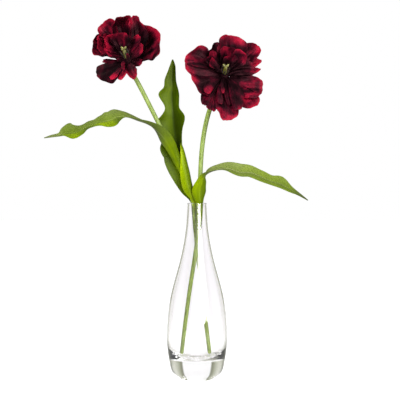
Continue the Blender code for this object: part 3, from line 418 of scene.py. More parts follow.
def tulip_petal():
    """A grown tulip petal: cells in fine lengthwise rows give a satin sheen and faint streaks."""
    made, tree, shader = finish(
        "tulip petal, satin, dark red to crimson",
        {
            "IOR": 1.38,
            "Specular IOR Level": 0.1,
            "Specular Tint": linear("#ff9aa8"),
            "Sheen Weight": 0.03,
            "Sheen Roughness": 0.3,
            "Sheen Tint": linear("#ff8aa4"),
        },
    )
    zone = node(tree, "Attribute", attribute_name="zone")
    parts = node(tree, "SeparateColor", {"Color": zone.outputs["Color"]})
    margin, along, blush_and_light = (parts.outputs[i] for i in range(3))
    place = node(tree, "UVMap", uv_map="UVMap").outputs["UV"]
    # streaks about 0.7 mm apart on a petal 40 mm wide, coarser than the real 0.2 mm so that they show
    fan = node(tree, "Mapping", {"Vector": place, "Scale": (55.0, 2.2, 1.0)}).outputs["Vector"]
    streaks = node(tree, "TexNoise", {"Vector": fan, "Scale": 1.0, "Detail": 4.0}).outputs["Fac"]
    # lengthwise pleats 5 mm apart, bands of dark and lighter red: painted shade of the petal's lengthwise
    # folds
    wide_fan = node(tree, "Mapping", {"Vector": place, "Scale": (7.5, 1.1, 1.0)}).outputs["Vector"]
    pleats_and_fold_shade = node(tree, "TexNoise", {"Vector": wide_fan, "Scale": 1.0, "Detail": 2.0}).outputs["Fac"]
    # clouds of darker and lighter red, 13 mm across
    where = node(tree, "TexCoord").outputs["Object"]
    clouds = node(tree, "TexNoise", {"Vector": where, "Scale": 75.0, "Detail": 2.0}).outputs["Fac"]
    # crimson spreads over the far end, most of all towards the margin, and lines the margin itself: partly
    # the petal's own crimson, partly painted light where light catches the thin margins and shines through
    # them; the line along the margin is partly its crimson, partly a painted highlight
    far = node(
        tree,
        "MapRange",
        {"Value": along, "From Min": 0.55, "From Max": 1.05},
        interpolation_type="SMOOTHSTEP",
    ).outputs["Result"]
    wider = weighed(tree, 0.5, (margin, 0.35))
    rim_crimson_and_highlight = node(tree, "Math", {0: margin, 1: 5.0}, operation="POWER").outputs[0]
    uneven_rim_crimson_and_highlight = weighed(tree, 0.0, (rim_crimson_and_highlight, clouds))
    crimson = weighed(tree, 0.0, (far, wider), (uneven_rim_crimson_and_highlight, 0.6))
    lit = weighed(tree, 0.0, (crimson, blush_and_light))
    # near black towards the root, where along is small: partly the petal's own dark base, partly painted
    # shade deep in the bloom; a higher blush lightens the whole petal, as painted light
    dark = weighed(tree, -1.72, (along, 0.42), (blush_and_light, 0.4))
    mixed = weighed(tree, dark, (lit, 0.5), (streaks, 0.45), (pleats_and_fold_shade, 0.6), (clouds, 1.7))
    reds = (
        (0.0, "#070103"),
        (0.2, "#180409"),
        (0.4, "#360613"),
        (0.6, "#5e0a1d"),
        (0.8, "#820e24"),
        (1.0, "#94122c"),
    )
    colour = node(tree, "ValToRGB", {"Fac": mixed}, reds).outputs["Color"]
    rough = node(tree, "MapRange", {"Value": streaks, "To Min": 0.32, "To Max": 0.52})
    tree.links.new(rough.outputs["Result"], shader.inputs["Roughness"])
    laid_on(tree, shader, streaks, 0.6, 0.5, colour)
    return made


def tulip_leaf():
    """A tulip leaf: a waxy skin over parallel veins, which run its whole length."""
    made, tree, shader = finish(
        "tulip leaf, waxy, ribbed green",
        {"IOR": 1.4, "Specular IOR Level": 0.13, "Specular Tint": linear("#d4e4a0")},
    )
    zone = node(tree, "Attribute", attribute_name="zone")
    parts = node(tree, "SeparateColor", {"Color": zone.outputs["Color"]})
    wax_and_sheen, tone = parts.outputs["Red"], parts.outputs["Blue"]
    place = node(tree, "UVMap", uv_map="UVMap").outputs["UV"]
    # a vein about every 1.5 mm across a blade 24 mm wide
    fan = node(tree, "Mapping", {"Vector": place, "Scale": (16.0, 1.3, 1.0)}).outputs["Vector"]
    veins = node(tree, "TexNoise", {"Vector": fan, "Scale": 1.0, "Detail": 3.0}).outputs["Fac"]
    # patches 20 mm long, as the wax bloom wears off
    where = node(tree, "TexCoord").outputs["Object"]
    patches = node(tree, "TexNoise", {"Vector": where, "Scale": 50.0, "Detail": 2.0}).outputs["Fac"]
    # tone brings in each leaf's painted light and shade
    mixed = weighed(tree, -0.26, (veins, 0.22), (patches, 0.3), (tone, 1.0))
    greens = ((0.0, "#161f00"), (0.3, "#2c3c00"), (0.55, "#4d6000"), (0.8, "#768a00"), (1.0, "#98ac00"))
    green = node(tree, "ValToRGB", {"Fac": mixed}, greens).outputs["Color"]
    # the midrib holds the most wax, in a line 1 mm wide; the pale grey olive coat is partly wax bloom,
    # partly painted sheen
    across = node(tree, "SeparateXYZ", {"Vector": place}).outputs["X"]
    near = node(tree, "Math", {0: weighed(tree, -0.5, (across, 1.0))}, operation="ABSOLUTE").outputs[0]
    rib = node(tree, "MapRange", {"Value": near, "From Max": 0.05, "To Min": 3.0, "To Max": 1.0})
    wax_and_sheen_amount = weighed(tree, 0.0, (weighed(tree, 0.7, (patches, 0.6)), wax_and_sheen))
    wax_and_sheen_coat = node(
        tree, "Math", {0: wax_and_sheen_amount, 1: rib.outputs["Result"]}, operation="MULTIPLY", use_clamp=True
    ).outputs[0]
    with_wax_and_sheen = node(tree, "Mix", {"Factor": wax_and_sheen_coat, "A": green, "B": linear("#989c6c")}, data_type="RGBA")
    rough = node(tree, "MapRange", {"Value": patches, "To Min": 0.34, "To Max": 0.5})
    tree.links.new(rough.outputs["Result"], shader.inputs["Roughness"])
    laid_on(tree, shader, veins, 0.1, 0.5, with_wax_and_sheen.outputs["Result"])
    return made


def tulip_stem():
    """A tulip stem: smooth and waxy, with faint lengthwise fibres under a pale green skin."""
    made, tree, shader = finish(
        "tulip stem, smooth pale green", {"Roughness": 0.48, "IOR": 1.45, "Specular IOR Level": 0.2}
    )
    # fibres about 1.3 mm apart round a stem 6 mm thick, and 8 mm long
    place = node(tree, "UVMap", uv_map="UVMap").outputs["UV"]
    fan = node(tree, "Mapping", {"Vector": place, "Scale": (14.0, 5.0, 1.0)}).outputs["Vector"]
    fibres = node(tree, "TexNoise", {"Vector": fan, "Scale": 1.0, "Detail": 3.0}).outputs["Fac"]
    greens = ((0.25, "#667a32"), (0.5, "#7b8d42"), (0.75, "#8fa158"))
    colour = node(tree, "ValToRGB", {"Fac": fibres}, greens).outputs["Color"]
    laid_on(tree, shader, fibres, 0.1, 0.3, colour)
    return made


def grained(made, tree, shader, scale, detail, stops, strength, depth):
    """A finish with one even grain all through it, of this many grains to the metre."""
    where = node(tree, "TexCoord").outputs["Object"]
    grain = node(tree, "TexNoise", {"Vector": where, "Scale": scale, "Detail": detail}).outputs["Fac"]
    colour = node(tree, "ValToRGB", {"Fac": grain}, stops).outputs["Color"] if stops else None
    laid_on(tree, shader, grain, strength, depth, colour)
    return made


def tulip_pistil():
    """A tulip's ovary and stigma: matt, yellow green, with a grain of 1.4 mm."""
    greens = ((0.3, "#484a0c"), (0.55, "#666220"), (0.75, "#8c8654"))
    look = finish("tulip pistil, matt yellow green", {"Roughness": 0.6})
    return grained(*look, 700.0, 3.0, greens, 0.4, 0.2)


def tulip_anther():
    """A tulip's anther: velvety with near black pollen, drawn in grains of 0.7 mm so that it shows."""
    browns = ((0.35, "#120a0c"), (0.7, "#3a2a20"))
    look = finish("tulip anther, pollen, near black", {"Roughness": 0.85, "Specular IOR Level": 0.2})
    return grained(*look, 1500.0, 2.0, browns, 0.6, 0.3)


def soda_glass():
    """Blown soda glass: clear and polished by fire, its skin very faintly waved every 40 mm."""
    look = finish(
        "clear soda glass, blown",
        {
            "Base Color": linear("#fefdfe"),
            "Roughness": 0.0,
            "IOR": 1.5,
            "Transmission Weight": 1.0,
        },
    )
    return grained(*look, 25.0, 1.0, (), 0.03, 1.0)


# Ways of working


def deselect():
    if bpy.context.object and bpy.context.object.mode != "OBJECT":
        bpy.ops.object.mode_set(mode="OBJECT")
    bpy.ops.object.select_all(action="DESELECT")


def take(piece):
    deselect()
    piece.select_set(True)
    bpy.context.view_layer.objects.active = piece


def added(name):
    """Names the primitive that was just added, and puts its place into its mesh."""
    piece = bpy.context.object
    piece.name = piece.data.name = name
    bpy.ops.object.transform_apply(location=True, rotation=True, scale=True)
    return piece


def finished_with(piece, kind, **settings):
    """Puts a modifier on the piece and applies it."""
    take(piece)
    made = piece.modifiers.new(kind.lower(), kind)
    for name, value in settings.items():
        setattr(made, name, value)
    bpy.ops.object.modifier_apply(modifier=made.name)


def subdivided(piece, levels):
    finished_with(piece, "SUBSURF", levels=levels, render_levels=levels)


def smooth(piece, angle=None):
    take(piece)
    if angle is None:
        bpy.ops.object.shade_smooth()
    else:
        bpy.ops.object.shade_smooth_by_angle(angle=math.radians(angle))


def place(piece, slot, stands_for):
    """Says what a finished piece moves with and the solid it stands for; its slot is not used."""
    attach(piece, "root")
    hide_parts(stands_for)


def dress(piece, look, slot, stands_for):
    """Gives a finished piece its material, and its place."""
    piece.data.materials.clear()
    piece.data.materials.append(look)
    place(piece, slot, stands_for)


def raised(rings):
    """Draws the selected round face on from ring to ring, each a radius and a height."""
    for (r0, z0), (r1, z1) in zip(rings, rings[1:]):
        bpy.ops.mesh.extrude_region_move(TRANSFORM_OT_translate={"value": (0, 0, (z1 - z0) * MM)})
        bpy.ops.transform.resize(value=(r1 / r0, r1 / r0, 1), center_override=(0, 0, z1 * MM))


def opened():
    """Starts to edit the active piece, with all of it selected."""
    bpy.ops.object.mode_set(mode="EDIT")
    bpy.ops.mesh.select_all(action="SELECT")


def closed():
    """Turns every face of the edited piece outwards, and ends the edit."""
    bpy.ops.mesh.select_all(action="SELECT")
    bpy.ops.mesh.normals_make_consistent(inside=False)
    bpy.ops.object.mode_set(mode="OBJECT")


def joined(name, pieces):
    deselect()
    for piece in pieces:
        piece.select_set(True)
    bpy.context.view_layer.objects.active = pieces[0]
    bpy.ops.object.join()
    pieces[0].name = pieces[0].data.name = name
    return pieces[0]


# Vase

VASE_SIDES = 32
# a subdivided ring of this many sides ends up this much smaller than its corners
VASE_SHRINK = (2 + math.cos(math.tau / VASE_SIDES)) / 3


def vase_radius(height):
    """The outer radius at a height."""
    stations = [Vector((h * VASE_HEIGHT, r * VASE_BELLY_RADIUS)) for h, r in VASE_OUTLINE]
    stations.append(Vector((VASE_HEIGHT, VASE_MOUTH_RADIUS)))
    steps = 400
    points = [smooth_through(stations, i / steps) for i in range(steps + 1)]
    return between([(p.x, p.y) for p in points], height)


def vase_rings():
    """(radius, height) of the rings from the edge of the underside, up the outside and down the inside."""
    low = [(VASE_FOOT_RADIUS - 1.5, 0.0), (VASE_FOOT_RADIUS + 0.6, 0.15), (VASE_FOOT_RADIUS + 2.2, 1.0)]
    heights = [2.6, 5, 8, 13, 22, 34, 46, 60, 76, 92, 106, 118, 130, 142, 156, 170, 185, 200, 212]
    outside = low + [(vase_radius(h), h) for h in heights]
    top = VASE_HEIGHT
    outer, wall = VASE_MOUTH_RADIUS, VASE_WALL
    rim = [
        (outer, top - 1.6),
        (outer, top - 0.5),
        (outer - 0.5, top),
        (outer - wall + 0.5, top),
        (outer - wall, top - 0.5),
        (outer - wall, top - 1.6),
    ]
    inner = [212, 200, 185, 170, 156, 142, 130, 118, 106, 92, 76, 60, 50, 42, 36]
    inside = [(vase_radius(h) - between(WALL_BY_HEIGHT, h), h) for h in inner]
    floor = [(31.6, 31.5), (29.8, 28.2), (27.0, 26.2), (22.0, 25.2), (14.0, 25.0), (5.0, 25.0)]
    return outside + rim + inside + floor


def make_vase():
    """One face drawn up and out into the body, over the rim, and down again to the inner floor."""
    rings = vase_rings()
    first = rings[0][0] / VASE_SHRINK * MM
    deselect()
    bpy.ops.mesh.primitive_circle_add(vertices=VASE_SIDES, radius=first, fill_type="NGON")
    vase = added("vase")
    opened()
    raised(rings)
    # the underside is hollowed a little, so that the foot stands on a ring
    bpy.ops.object.mode_set(mode="OBJECT")
    for face in vase.data.polygons:
        face.select = len(face.vertices) > 4 and face.center.z < 1 * MM
    bpy.ops.object.mode_set(mode="EDIT")
    for size, lift in ((0.9, 0.0), (0.85, 0.5), (0.6, 0.9), (0.3, 0.3)):
        bpy.ops.mesh.extrude_region_move(TRANSFORM_OT_translate={"value": (0, 0, lift * MM)})
        bpy.ops.transform.resize(value=(size, size, 1), center_override=(0, 0, 0))
    closed()
    subdivided(vase, 2)
    smooth(vase)
    dress(vase, soda_glass(), "clear_glass", "vase")
    return vase


# Stems

STEM_SIDES = 12
STEM_CUTS = 36
WRAP = 40.0
ROUND_UNDER = 60  # degrees: sharper edges, at the cut ends, stay sharp


def stem_points(route, steps):
    places = [Vector(p) for p in route]
    return [smooth_through(places, i / steps) for i in range(steps + 1)]


def on_stem(route, height):
    """The stem's middle at a height, and its radius there."""
    points = stem_points(route, STEM_STEPS)
    for i, (low, high) in enumerate(zip(points, points[1:])):
        if low.z <= height <= high.z:
            share = (i + 0.5) / (len(points) - 1)
            middle = low.lerp(high, (height - low.z) / (high.z - low.z))
            radius = STEM_FOOT_RADIUS + (STEM_TOP_RADIUS - STEM_FOOT_RADIUS) * share
            return middle, radius
    raise ValueError(f"the stem has no point at height {height}")


def make_stem(name, route, look):
    """A cut round drawn up along the route, turned to it at each step."""
    steps = STEM_CUTS
    points = stem_points(route, steps)
    way = [(points[min(i + 1, steps)] - points[max(i - 1, 0)]).normalized() for i in range(steps + 1)]
    shrink = (2 + math.cos(math.tau / STEM_SIDES)) / 3
    deselect()
    bpy.ops.mesh.primitive_circle_add(
        vertices=STEM_SIDES,
        radius=STEM_FOOT_RADIUS / shrink * MM,
        fill_type="NGON",
        location=points[0] * MM,
        rotation=way[0].to_track_quat("Z", "Y").to_euler(),
    )
    stem = added(name)
    opened()
    growth = (STEM_TOP_RADIUS / STEM_FOOT_RADIUS) ** (1 / steps)
    for i in range(1, steps + 1):
        bpy.ops.mesh.extrude_region_move(
            TRANSFORM_OT_translate={"value": (points[i] - points[i - 1]) * MM}
        )
        centre = points[i] * MM
        turn = way[i - 1].rotation_difference(way[i])
        if turn.angle > 1e-4:
            to_axis = turn.axis.to_track_quat("Z", "Y").to_matrix()
            # with no window the operator turns the other way
            bpy.ops.transform.rotate(
                value=-turn.angle,
                orient_axis="Z",
                orient_type="GLOBAL",
                orient_matrix=to_axis.transposed(),
                center_override=centre,
            )
        bpy.ops.transform.resize(value=(growth,) * 3, center_override=centre)
    closed()
    wrapped(stem, points)
    subdivided(stem, 1)
    smooth(stem, ROUND_UNDER)
    dress(stem, look, "stem_green", name)
    return stem


def wrapped(piece, points):
    """A UV map that goes round the piece once, and up it once for each WRAP of its height."""
    layer = piece.data.uv_layers.get("UVMap") or piece.data.uv_layers.new(name="UVMap")
    mesh = piece.data
    for face in mesh.polygons:
        turns = []
        for corner in face.loop_indices:
            where = mesh.vertices[mesh.loops[corner].vertex_index].co / MM
            near = min(range(len(points)), key=lambda i: (points[i] - where).length_squared)
            off = where - points[near]
            turns.append((corner, math.atan2(off.y, off.x) / math.tau % 1.0, where.z / WRAP))
        wraps = max(t[1] for t in turns) - min(t[1] for t in turns) > 0.5
        for corner, u, v in turns:
            layer.data[corner].uv = (u + 1 if wraps and u < 0.5 else u, v)


# Leaves


def clasp(route, height, facing, left, right, room=0.0):
    """A station where a leaf's sheath lies round its stem, with this much room past the gap."""
    middle, radius = on_stem(route, height)
    reach = radius + GAP + 0.15 + LEAF_THICKNESS / 2 + room
    toward = Vector(facing).normalized()
    cups = (math.degrees(left / reach), math.degrees(right / reach))
    return Station(tuple(middle - toward * reach), tuple(toward), (left, right), cups)


def leaf_points(stations, waves, phase, grid):
    """Bends the flat grid of points, from -1 to 1 across and along, to the leaf's shape."""
    places = [Vector(s.place) for s in stations]
    facings = [Vector(s.facing).normalized() for s in stations]
    sections = [Vector((*s.half_widths, *(math.radians(cup) for cup in s.cups))) for s in stations]
    bent = []
    for across, share in grid:
        share = (share + 1) / 2
        middle = smooth_through(places, share)
        ahead = smooth_through(places, min(share + 0.01, 1.0))
        behind = smooth_through(places, max(share - 0.01, 0.0))
        along = (ahead - behind).normalized()
        facing = smooth_through(facings, share)
        facing = (facing - along * facing.dot(along)).normalized()
        side = along.cross(facing)
        section = smooth_through(sections, share)
        right = across > 0
        half_width, cup = max(section[right], 0.7), max(section[2 + right], 0.05)
        swing = math.sin(math.tau * waves * share + phase + (0.9 if across > 0 else 0.0))
        amount = eased(share * 3 - 0.9) * eased((1 - share) * 5) * across * across
        half_width *= 1 + LEAF_SCALLOP * swing * amount
        turn = cup * across
        sideways = half_width * math.sin(turn) / cup
        lift = half_width * (1 - math.cos(turn)) / cup + LEAF_WAVE * amount * swing
        # the midrib is a shallow groove in the upper face
        groove = MIDRIB_DEPTH * math.exp(-((across / MIDRIB_WIDTH) ** 2))
        lift -= groove * eased(share * 4) * eased((1 - share) * 6)
        bent.append(middle + side * sideways + facing * lift)
    return bent


LEAF_COLUMNS = 20
LEAF_ROWS = 130


def flat_sheet(name, columns, rows):
    """A flat grid from -1 to 1 both ways, and its points."""
    deselect()
    bpy.ops.mesh.primitive_grid_add(x_subdivisions=columns, y_subdivisions=rows, size=2)
    sheet = added(name)
    return sheet, [(v.co.x, v.co.y) for v in sheet.data.vertices]


def painted(piece, colours):
    """Stores three values for each point, which the material reads."""
    layer = piece.data.attributes.new("zone", "FLOAT_COLOR", "POINT")
    for i, values in enumerate(colours):
        layer.data[i].color = (*values, 1.0)


def thickened(piece, weights, thickness):
    """Gives the sheet its thickness, less where the weights are lower."""
    group = piece.vertex_groups.new(name="body")
    for i, weight in enumerate(weights):
        group.add([i], weight, "REPLACE")
    finished_with(
        piece,
        "SOLIDIFY",
        thickness=thickness * MM,
        offset=0.0,
        vertex_group="body",
        thickness_vertex_group=0.0,
        use_even_offset=False,
    )
    piece.vertex_groups.clear()


# the greens of each leaf, partly its own colour, partly painted light and shade: darker in the upright
# leaf's channel, under its bends, at the ends of its lobes and at its tip, lighter where light falls;
# share of its length; left, middle and right tone; left and right wax, partly painted sheen
UPRIGHT_TONES_AND_SHADE = [
    (0.0, 0.5, 0.6, 0.7, 0.0, 0.0),
    (0.16, 0.5, 0.45, 0.76, 0.0, 0.0),
    (0.22, 0.5, 0.2, 0.95, 0.0, 0.0),
    (0.42, 0.4, 0.1, 0.95, 0.0, 0.0),
    (0.5, 0.42, 0.12, 0.45, 0.0, 0.0),
    (0.65, 0.52, 0.15, 0.5, 0.0, 0.0),
    (0.8, 0.55, 0.34, 0.4, 0.0, 0.0),
    (1.0, 0.55, 0.44, 0.44, 0.0, 0.0),
]
ARCHING_TONES_AND_SHADE = [
    (0.0, 0.6, 0.65, 0.6, 0.0, 0.0),
    (0.14, 0.6, 0.68, 0.6, 0.0, 0.0),
    (0.22, 0.5, 0.35, 0.25, 0.1, 0.1),
    (0.33, 0.5, 0.4, 0.42, 0.15, 0.2),
    (0.4, 0.55, 0.5, 0.44, 0.08, 0.18),
    (0.455, 0.36, 0.5, 0.43, 0.03, 0.17),
    (0.5, 0.62, 0.54, 0.45, 0.0, 0.15),
    (0.56, 0.7, 0.52, 0.45, 0.0, 0.12),
    (0.65, 0.56, 0.5, 0.45, 0.03, 0.15),
    (0.7, 0.38, 0.48, 0.43, 0.03, 0.15),
    (0.74, 0.58, 0.5, 0.43, 0.0, 0.14),
    (0.79, 0.68, 0.5, 0.46, 0.0, 0.09),
    (0.87, 0.63, 0.49, 0.46, 0.0, 0.11),
    (0.92, 0.42, 0.42, 0.42, 0.2, 0.25),
    (1.0, 0.25, 0.25, 0.25, 0.2, 0.2),
]
DROOPING_TONES_AND_SHADE = [
    (0.0, 0.6, 0.62, 0.7, 0.0, 0.0),
    (0.3, 0.56, 0.68, 0.74, 0.0, 0.0),
    (0.38, 0.45, 0.35, 0.4, 0.3, 0.2),
    (0.5, 0.56, 0.5, 0.6, 0.3, 0.12),
    (0.7, 0.62, 0.52, 0.66, 0.14, 0.1),
    (0.88, 0.56, 0.46, 0.64, 0.1, 0.06),
    (0.95, 0.32, 0.26, 0.34, 0.12, 0.1),
    (1.0, 0.12, 0.12, 0.12, 0.1, 0.1),
]


def leaf_tone_and_shade(tones, across, share):
    """How waxy the leaf is here, partly painted sheen, how far along this is, and how bright its green is,
    with painted light and shade.
    """
    left, middle, right, left_wax_and_sheen, right_wax_and_sheen = (
        between([(row[0], row[i]) for row in tones], share) for i in range(1, 6)
    )
    wax_and_sheen = left_wax_and_sheen + (right_wax_and_sheen - left_wax_and_sheen) * eased((across + 1) / 2)
    return wax_and_sheen, share, between([(-1, left), (-0.25, left), (0, middle), (1, right)], across)


def make_leaf(name, clasps, blade, waves, phase, tones, look):
    """A leaf through the stations of its sheath and of its blade."""
    stations = clasps + [Station(*row) for row in blade]
    leaf, grid = flat_sheet(name, LEAF_COLUMNS, LEAF_ROWS)
    for vert, where in zip(leaf.data.vertices, leaf_points(stations, waves, phase, grid)):
        vert.co = where * MM
    painted(leaf, [leaf_tone_and_shade(tones, x, (y + 1) / 2) for x, y in grid])
    thickened(leaf, [1.0 - 0.6 * abs(x) ** 3 for x, y in grid], LEAF_THICKNESS)
    subdivided(leaf, 1)
    smooth(leaf)
    dress(leaf, look, "leaf_green", name)
    return leaf


UPRIGHT_CLASPS = [
    clasp(LEFT_STEM, 164, (-0.4, -0.9, 0), 3, 3, 0.1),
    clasp(LEFT_STEM, 188, (-0.45, -0.88, 0), 5.5, 7, 0.2),
    clasp(LEFT_STEM, 209, (-0.55, -0.83, 0), 6.5, 10, 0.55),
    clasp(LEFT_STEM, 224, (-0.55, -0.83, 0), 6.5, 13, 0.7),
]
UPRIGHT_BLADE = [
    ((-8.9, 7.9, 237), (-0.35, -0.94, 0), (12, 25.5), (50, 225)),
    ((-11.3, 7.8, 246.6), (-0.35, -0.94, 0), (16.5, 26.7), (50, 225)),
    ((-13.4, 7.8, 256.7), (-0.35, -0.94, 0), (20, 25.8), (45, 211)),
    ((-15.9, 7.6, 266.7), (-0.35, -0.94, 0), (22.5, 22.6), (45, 185)),
    ((-18, 7.1, 276.7), (-0.35, -0.94, 0), (24.3, 18.7), (42, 165)),
    ((-20.4, 7.2, 285.4), (-0.35, -0.94, 0), (24.6, 15.5), (42, 142)),
    ((-23.4, 8.2, 291.6), (-0.3, -0.95, 0), (22.5, 13.5), (42, 110)),
    ((-25, 8.8, 299), (-0.28, -0.96, 0), (20, 15.5), (42, 100)),
    ((-26.9, 9.6, 311.6), (-0.25, -0.97, 0), (21, 18.5), (42, 85)),
    ((-28.2, 10, 324.2), (-0.2, -0.98, 0), (21, 16.2), (40, 60)),
    ((-29.5, 10, 333.8), (-0.1, -0.99, 0), (13, 13.2), (38, 50)),
    ((-30.1, 10, 341.3), (-0.1, -0.99, 0), (13, 10.6), (38, 50)),
    ((-30.8, 9.8, 354.9), (-0.1, -0.99, 0), (18, 9.2), (38, 50)),
    ((-30.6, 9.6, 365), (-0.1, -0.99, 0), (10.4, 7.6), (38, 50)),
    ((-30.6, 9.4, 376), (-0.1, -0.99, 0), (11.6, 5.6), (38, 46)),
    ((-30.7, 9, 387), (-0.1, -0.99, 0), (6, 4.4), (38, 44)),
    ((-30.7, 8.7, 393.3), (-0.1, -0.99, 0), (3.3, 3.6), (30, 30)),
    ((-30.7, 8.5, 400.4), (-0.1, -0.99, 0), (0.8, 0.8), (20, 20)),
]
ARCHING_CLASPS = [
    clasp(LEFT_STEM, 240, (0.3, 0.95, 0.1), 2.4, 2.4),
    clasp(LEFT_STEM, 256, (0.35, 0.9, 0.15), 5.5, 6.5, 0.2),
]
ARCHING_BLADE = [
    ((-24.3, -3.4, 269.9), (0.3, 0.92, 0.25), (6.5, 8.5), (75, 75)),
    ((-31.1, -6.6, 286.0), (0.25, 0.88, 0.4), (8, 12), (70, 66)),
    ((-38.5, -10.3, 297.6), (0.25, 0.75, 0.6), (10, 14), (54, 54)),
    ((-46.5, -13, 307.4), (0.25, 0.5, 0.82), (10, 13), (48, 48)),
    ((-54.5, -14.6, 314.2), (0.15, 0.2, 0.95), (9.5, 11), (42, 42)),
    ((-63.1, -16, 318.8), (0.1, 0, 1), (9, 9), (40, 40)),
    ((-72.9, -17.8, 322.0), (0.05, -0.15, 0.98), (9, 9), (36, 36)),
    ((-82.7, -19.5, 325.6), (0.05, -0.3, 0.94), (9, 9), (34, 34)),
    ((-90.0, -21, 327.4), (0, -0.5, 0.86), (9, 9.5), (32, 32)),
    ((-98.5, -22.5, 326.0), (0, -0.75, 0.66), (12, 11.5), (28, 28)),
    ((-105.2, -23.7, 322.9), (-0.05, -0.8, 0.6), (14, 11), (26, 24)),
    ((-111.9, -25, 320.6), (-0.05, -0.8, 0.6), (12.5, 13.5), (26, 24)),
    ((-118.6, -26, 319.3), (-0.05, -0.78, 0.63), (8.5, 11), (24, 24)),
    ((-124.7, -27, 317.6), (0, -0.7, 0.7), (6.5, 6), (24, 24)),
    ((-131.3, -28.4, 315.0), (0, -0.62, 0.78), (6.5, 6.5), (24, 24)),
    ((-137.3, -29.5, 312.5), (0, -0.6, 0.8), (8, 7.6), (24, 24)),
    ((-143.4, -30.5, 309.0), (0, -0.7, 0.7), (11.8, 10.5), (24, 24)),
    ((-150.6, -31.5, 306.2), (-0.05, -0.78, 0.62), (12.8, 12), (24, 24)),
    ((-157.3, -32.5, 305.6), (-0.05, -0.78, 0.62), (9.5, 12), (24, 24)),
    ((-163.3, -33.5, 304.8), (-0.05, -0.75, 0.66), (5, 10), (24, 24)),
    ((-168.7, -34.3, 303.0), (0, -0.7, 0.7), (3, 4), (24, 24)),
    ((-178.3, -36, 301.3), (0, -0.6, 0.8), (2.8, 2.6), (24, 24)),
    ((-186.7, -37.5, 299.4), (0, -0.5, 0.86), (0.8, 0.8), (20, 20)),
]
DROOPING_CLASPS = [
    clasp(RIGHT_STEM, 180, (-0.6, 0.8, 0), 2.2, 2.2, 0.1),
    clasp(RIGHT_STEM, 200, (-0.4, 0.9, 0), 5, 5, 0.3),
    clasp(RIGHT_STEM, 218, (-0.25, 0.97, 0), 7.5, 7.5, 0.6),
]
DROOPING_BLADE = [
    ((3.2, -7.6, 234), (-0.1, 1, 0.05), (9.5, 9.8), (50, 32)),
    ((5.8, -8.6, 244), (-0.25, 0.93, 0.25), (8.4, 8.2), (56, 50)),
    ((8.5, -9.6, 252.3), (-0.4, 0.5, 0.75), (9, 5.6), (54, 54)),
    ((15.5, -10.5, 258.1), (-0.3, -0.2, 0.93), (9.5, 7), (48, 48)),
    ((27.3, -12, 262.1), (-0.15, -0.42, 0.88), (10, 8.6), (42, 42)),
    ((38.5, -13, 262.7), (0, -0.6, 0.8), (10, 10), (36, 36)),
    ((53.3, -14.5, 258.1), (0.1, -0.67, 0.74), (11.6, 11.6), (30, 30)),
    ((65.6, -16, 257.7), (0.12, -0.68, 0.72), (12.8, 12.8), (26, 26)),
    ((77.9, -17.3, 253.1), (0.15, -0.68, 0.72), (11.8, 11.8), (24, 24)),
    ((90.2, -18.5, 247.2), (0.16, -0.68, 0.72), (8.6, 8.6), (24, 24)),
    ((102.5, -19.8, 243.5), (0.18, -0.68, 0.72), (10.2, 10), (24, 24)),
    ((114.8, -20.8, 236.5), (0.2, -0.66, 0.72), (6.8, 6.8), (24, 24)),
    ((124.6, -21.5, 231.1), (0.22, -0.64, 0.74), (3.4, 3.4), (24, 24)),
    ((136.9, -22, 223.3), (0.25, -0.6, 0.75), (0.8, 0.8), (20, 20)),
]


# Blooms

PETAL_COLUMNS = 18
PETAL_ROWS = 22


def bloom_frame(bloom):
    """The matrix from the bloom's own frame, in millimetres, with its axis along its Z."""
    axis = Vector(bloom.axis).normalized()
    right = Vector((0.0, 0.0, 1.0)).cross(-axis).normalized()
    if right.x < 0:
        right = -right
    up = axis.cross(right)
    turn = Matrix((right, up, axis)).transposed().to_4x4()
    return Matrix.Translation(Vector(bloom.centre)) @ turn


def bowed(points, t):
    """The point at t, from -1 to 1, of a curve through three points or numbers."""
    return points[0] * (t * (t - 1) / 2) + points[1] * (1 - t * t) + points[2] * (t * (t + 1) / 2)


def petal_net(petal, root_height):
    """The petal's three by three net, from its narrow root to its tip."""
    left, middle, right = (Vector(p) for p in (petal.left, petal.middle, petal.right))
    outward = Vector((middle.x, middle.y, 0.0)).normalized()
    side = Vector((-outward.y, outward.x, 0.0))
    root = outward * PETAL_ROOT_RADIUS
    root.z = root_height
    claw = max(LEAST_CLAW, CLAW * (right - left).length)
    far_row = [Vector(p) for p in (petal.left_corner, petal.tip, petal.right_corner)]
    return [[root + side * claw, root, root - side * claw], [left, middle, right], far_row]


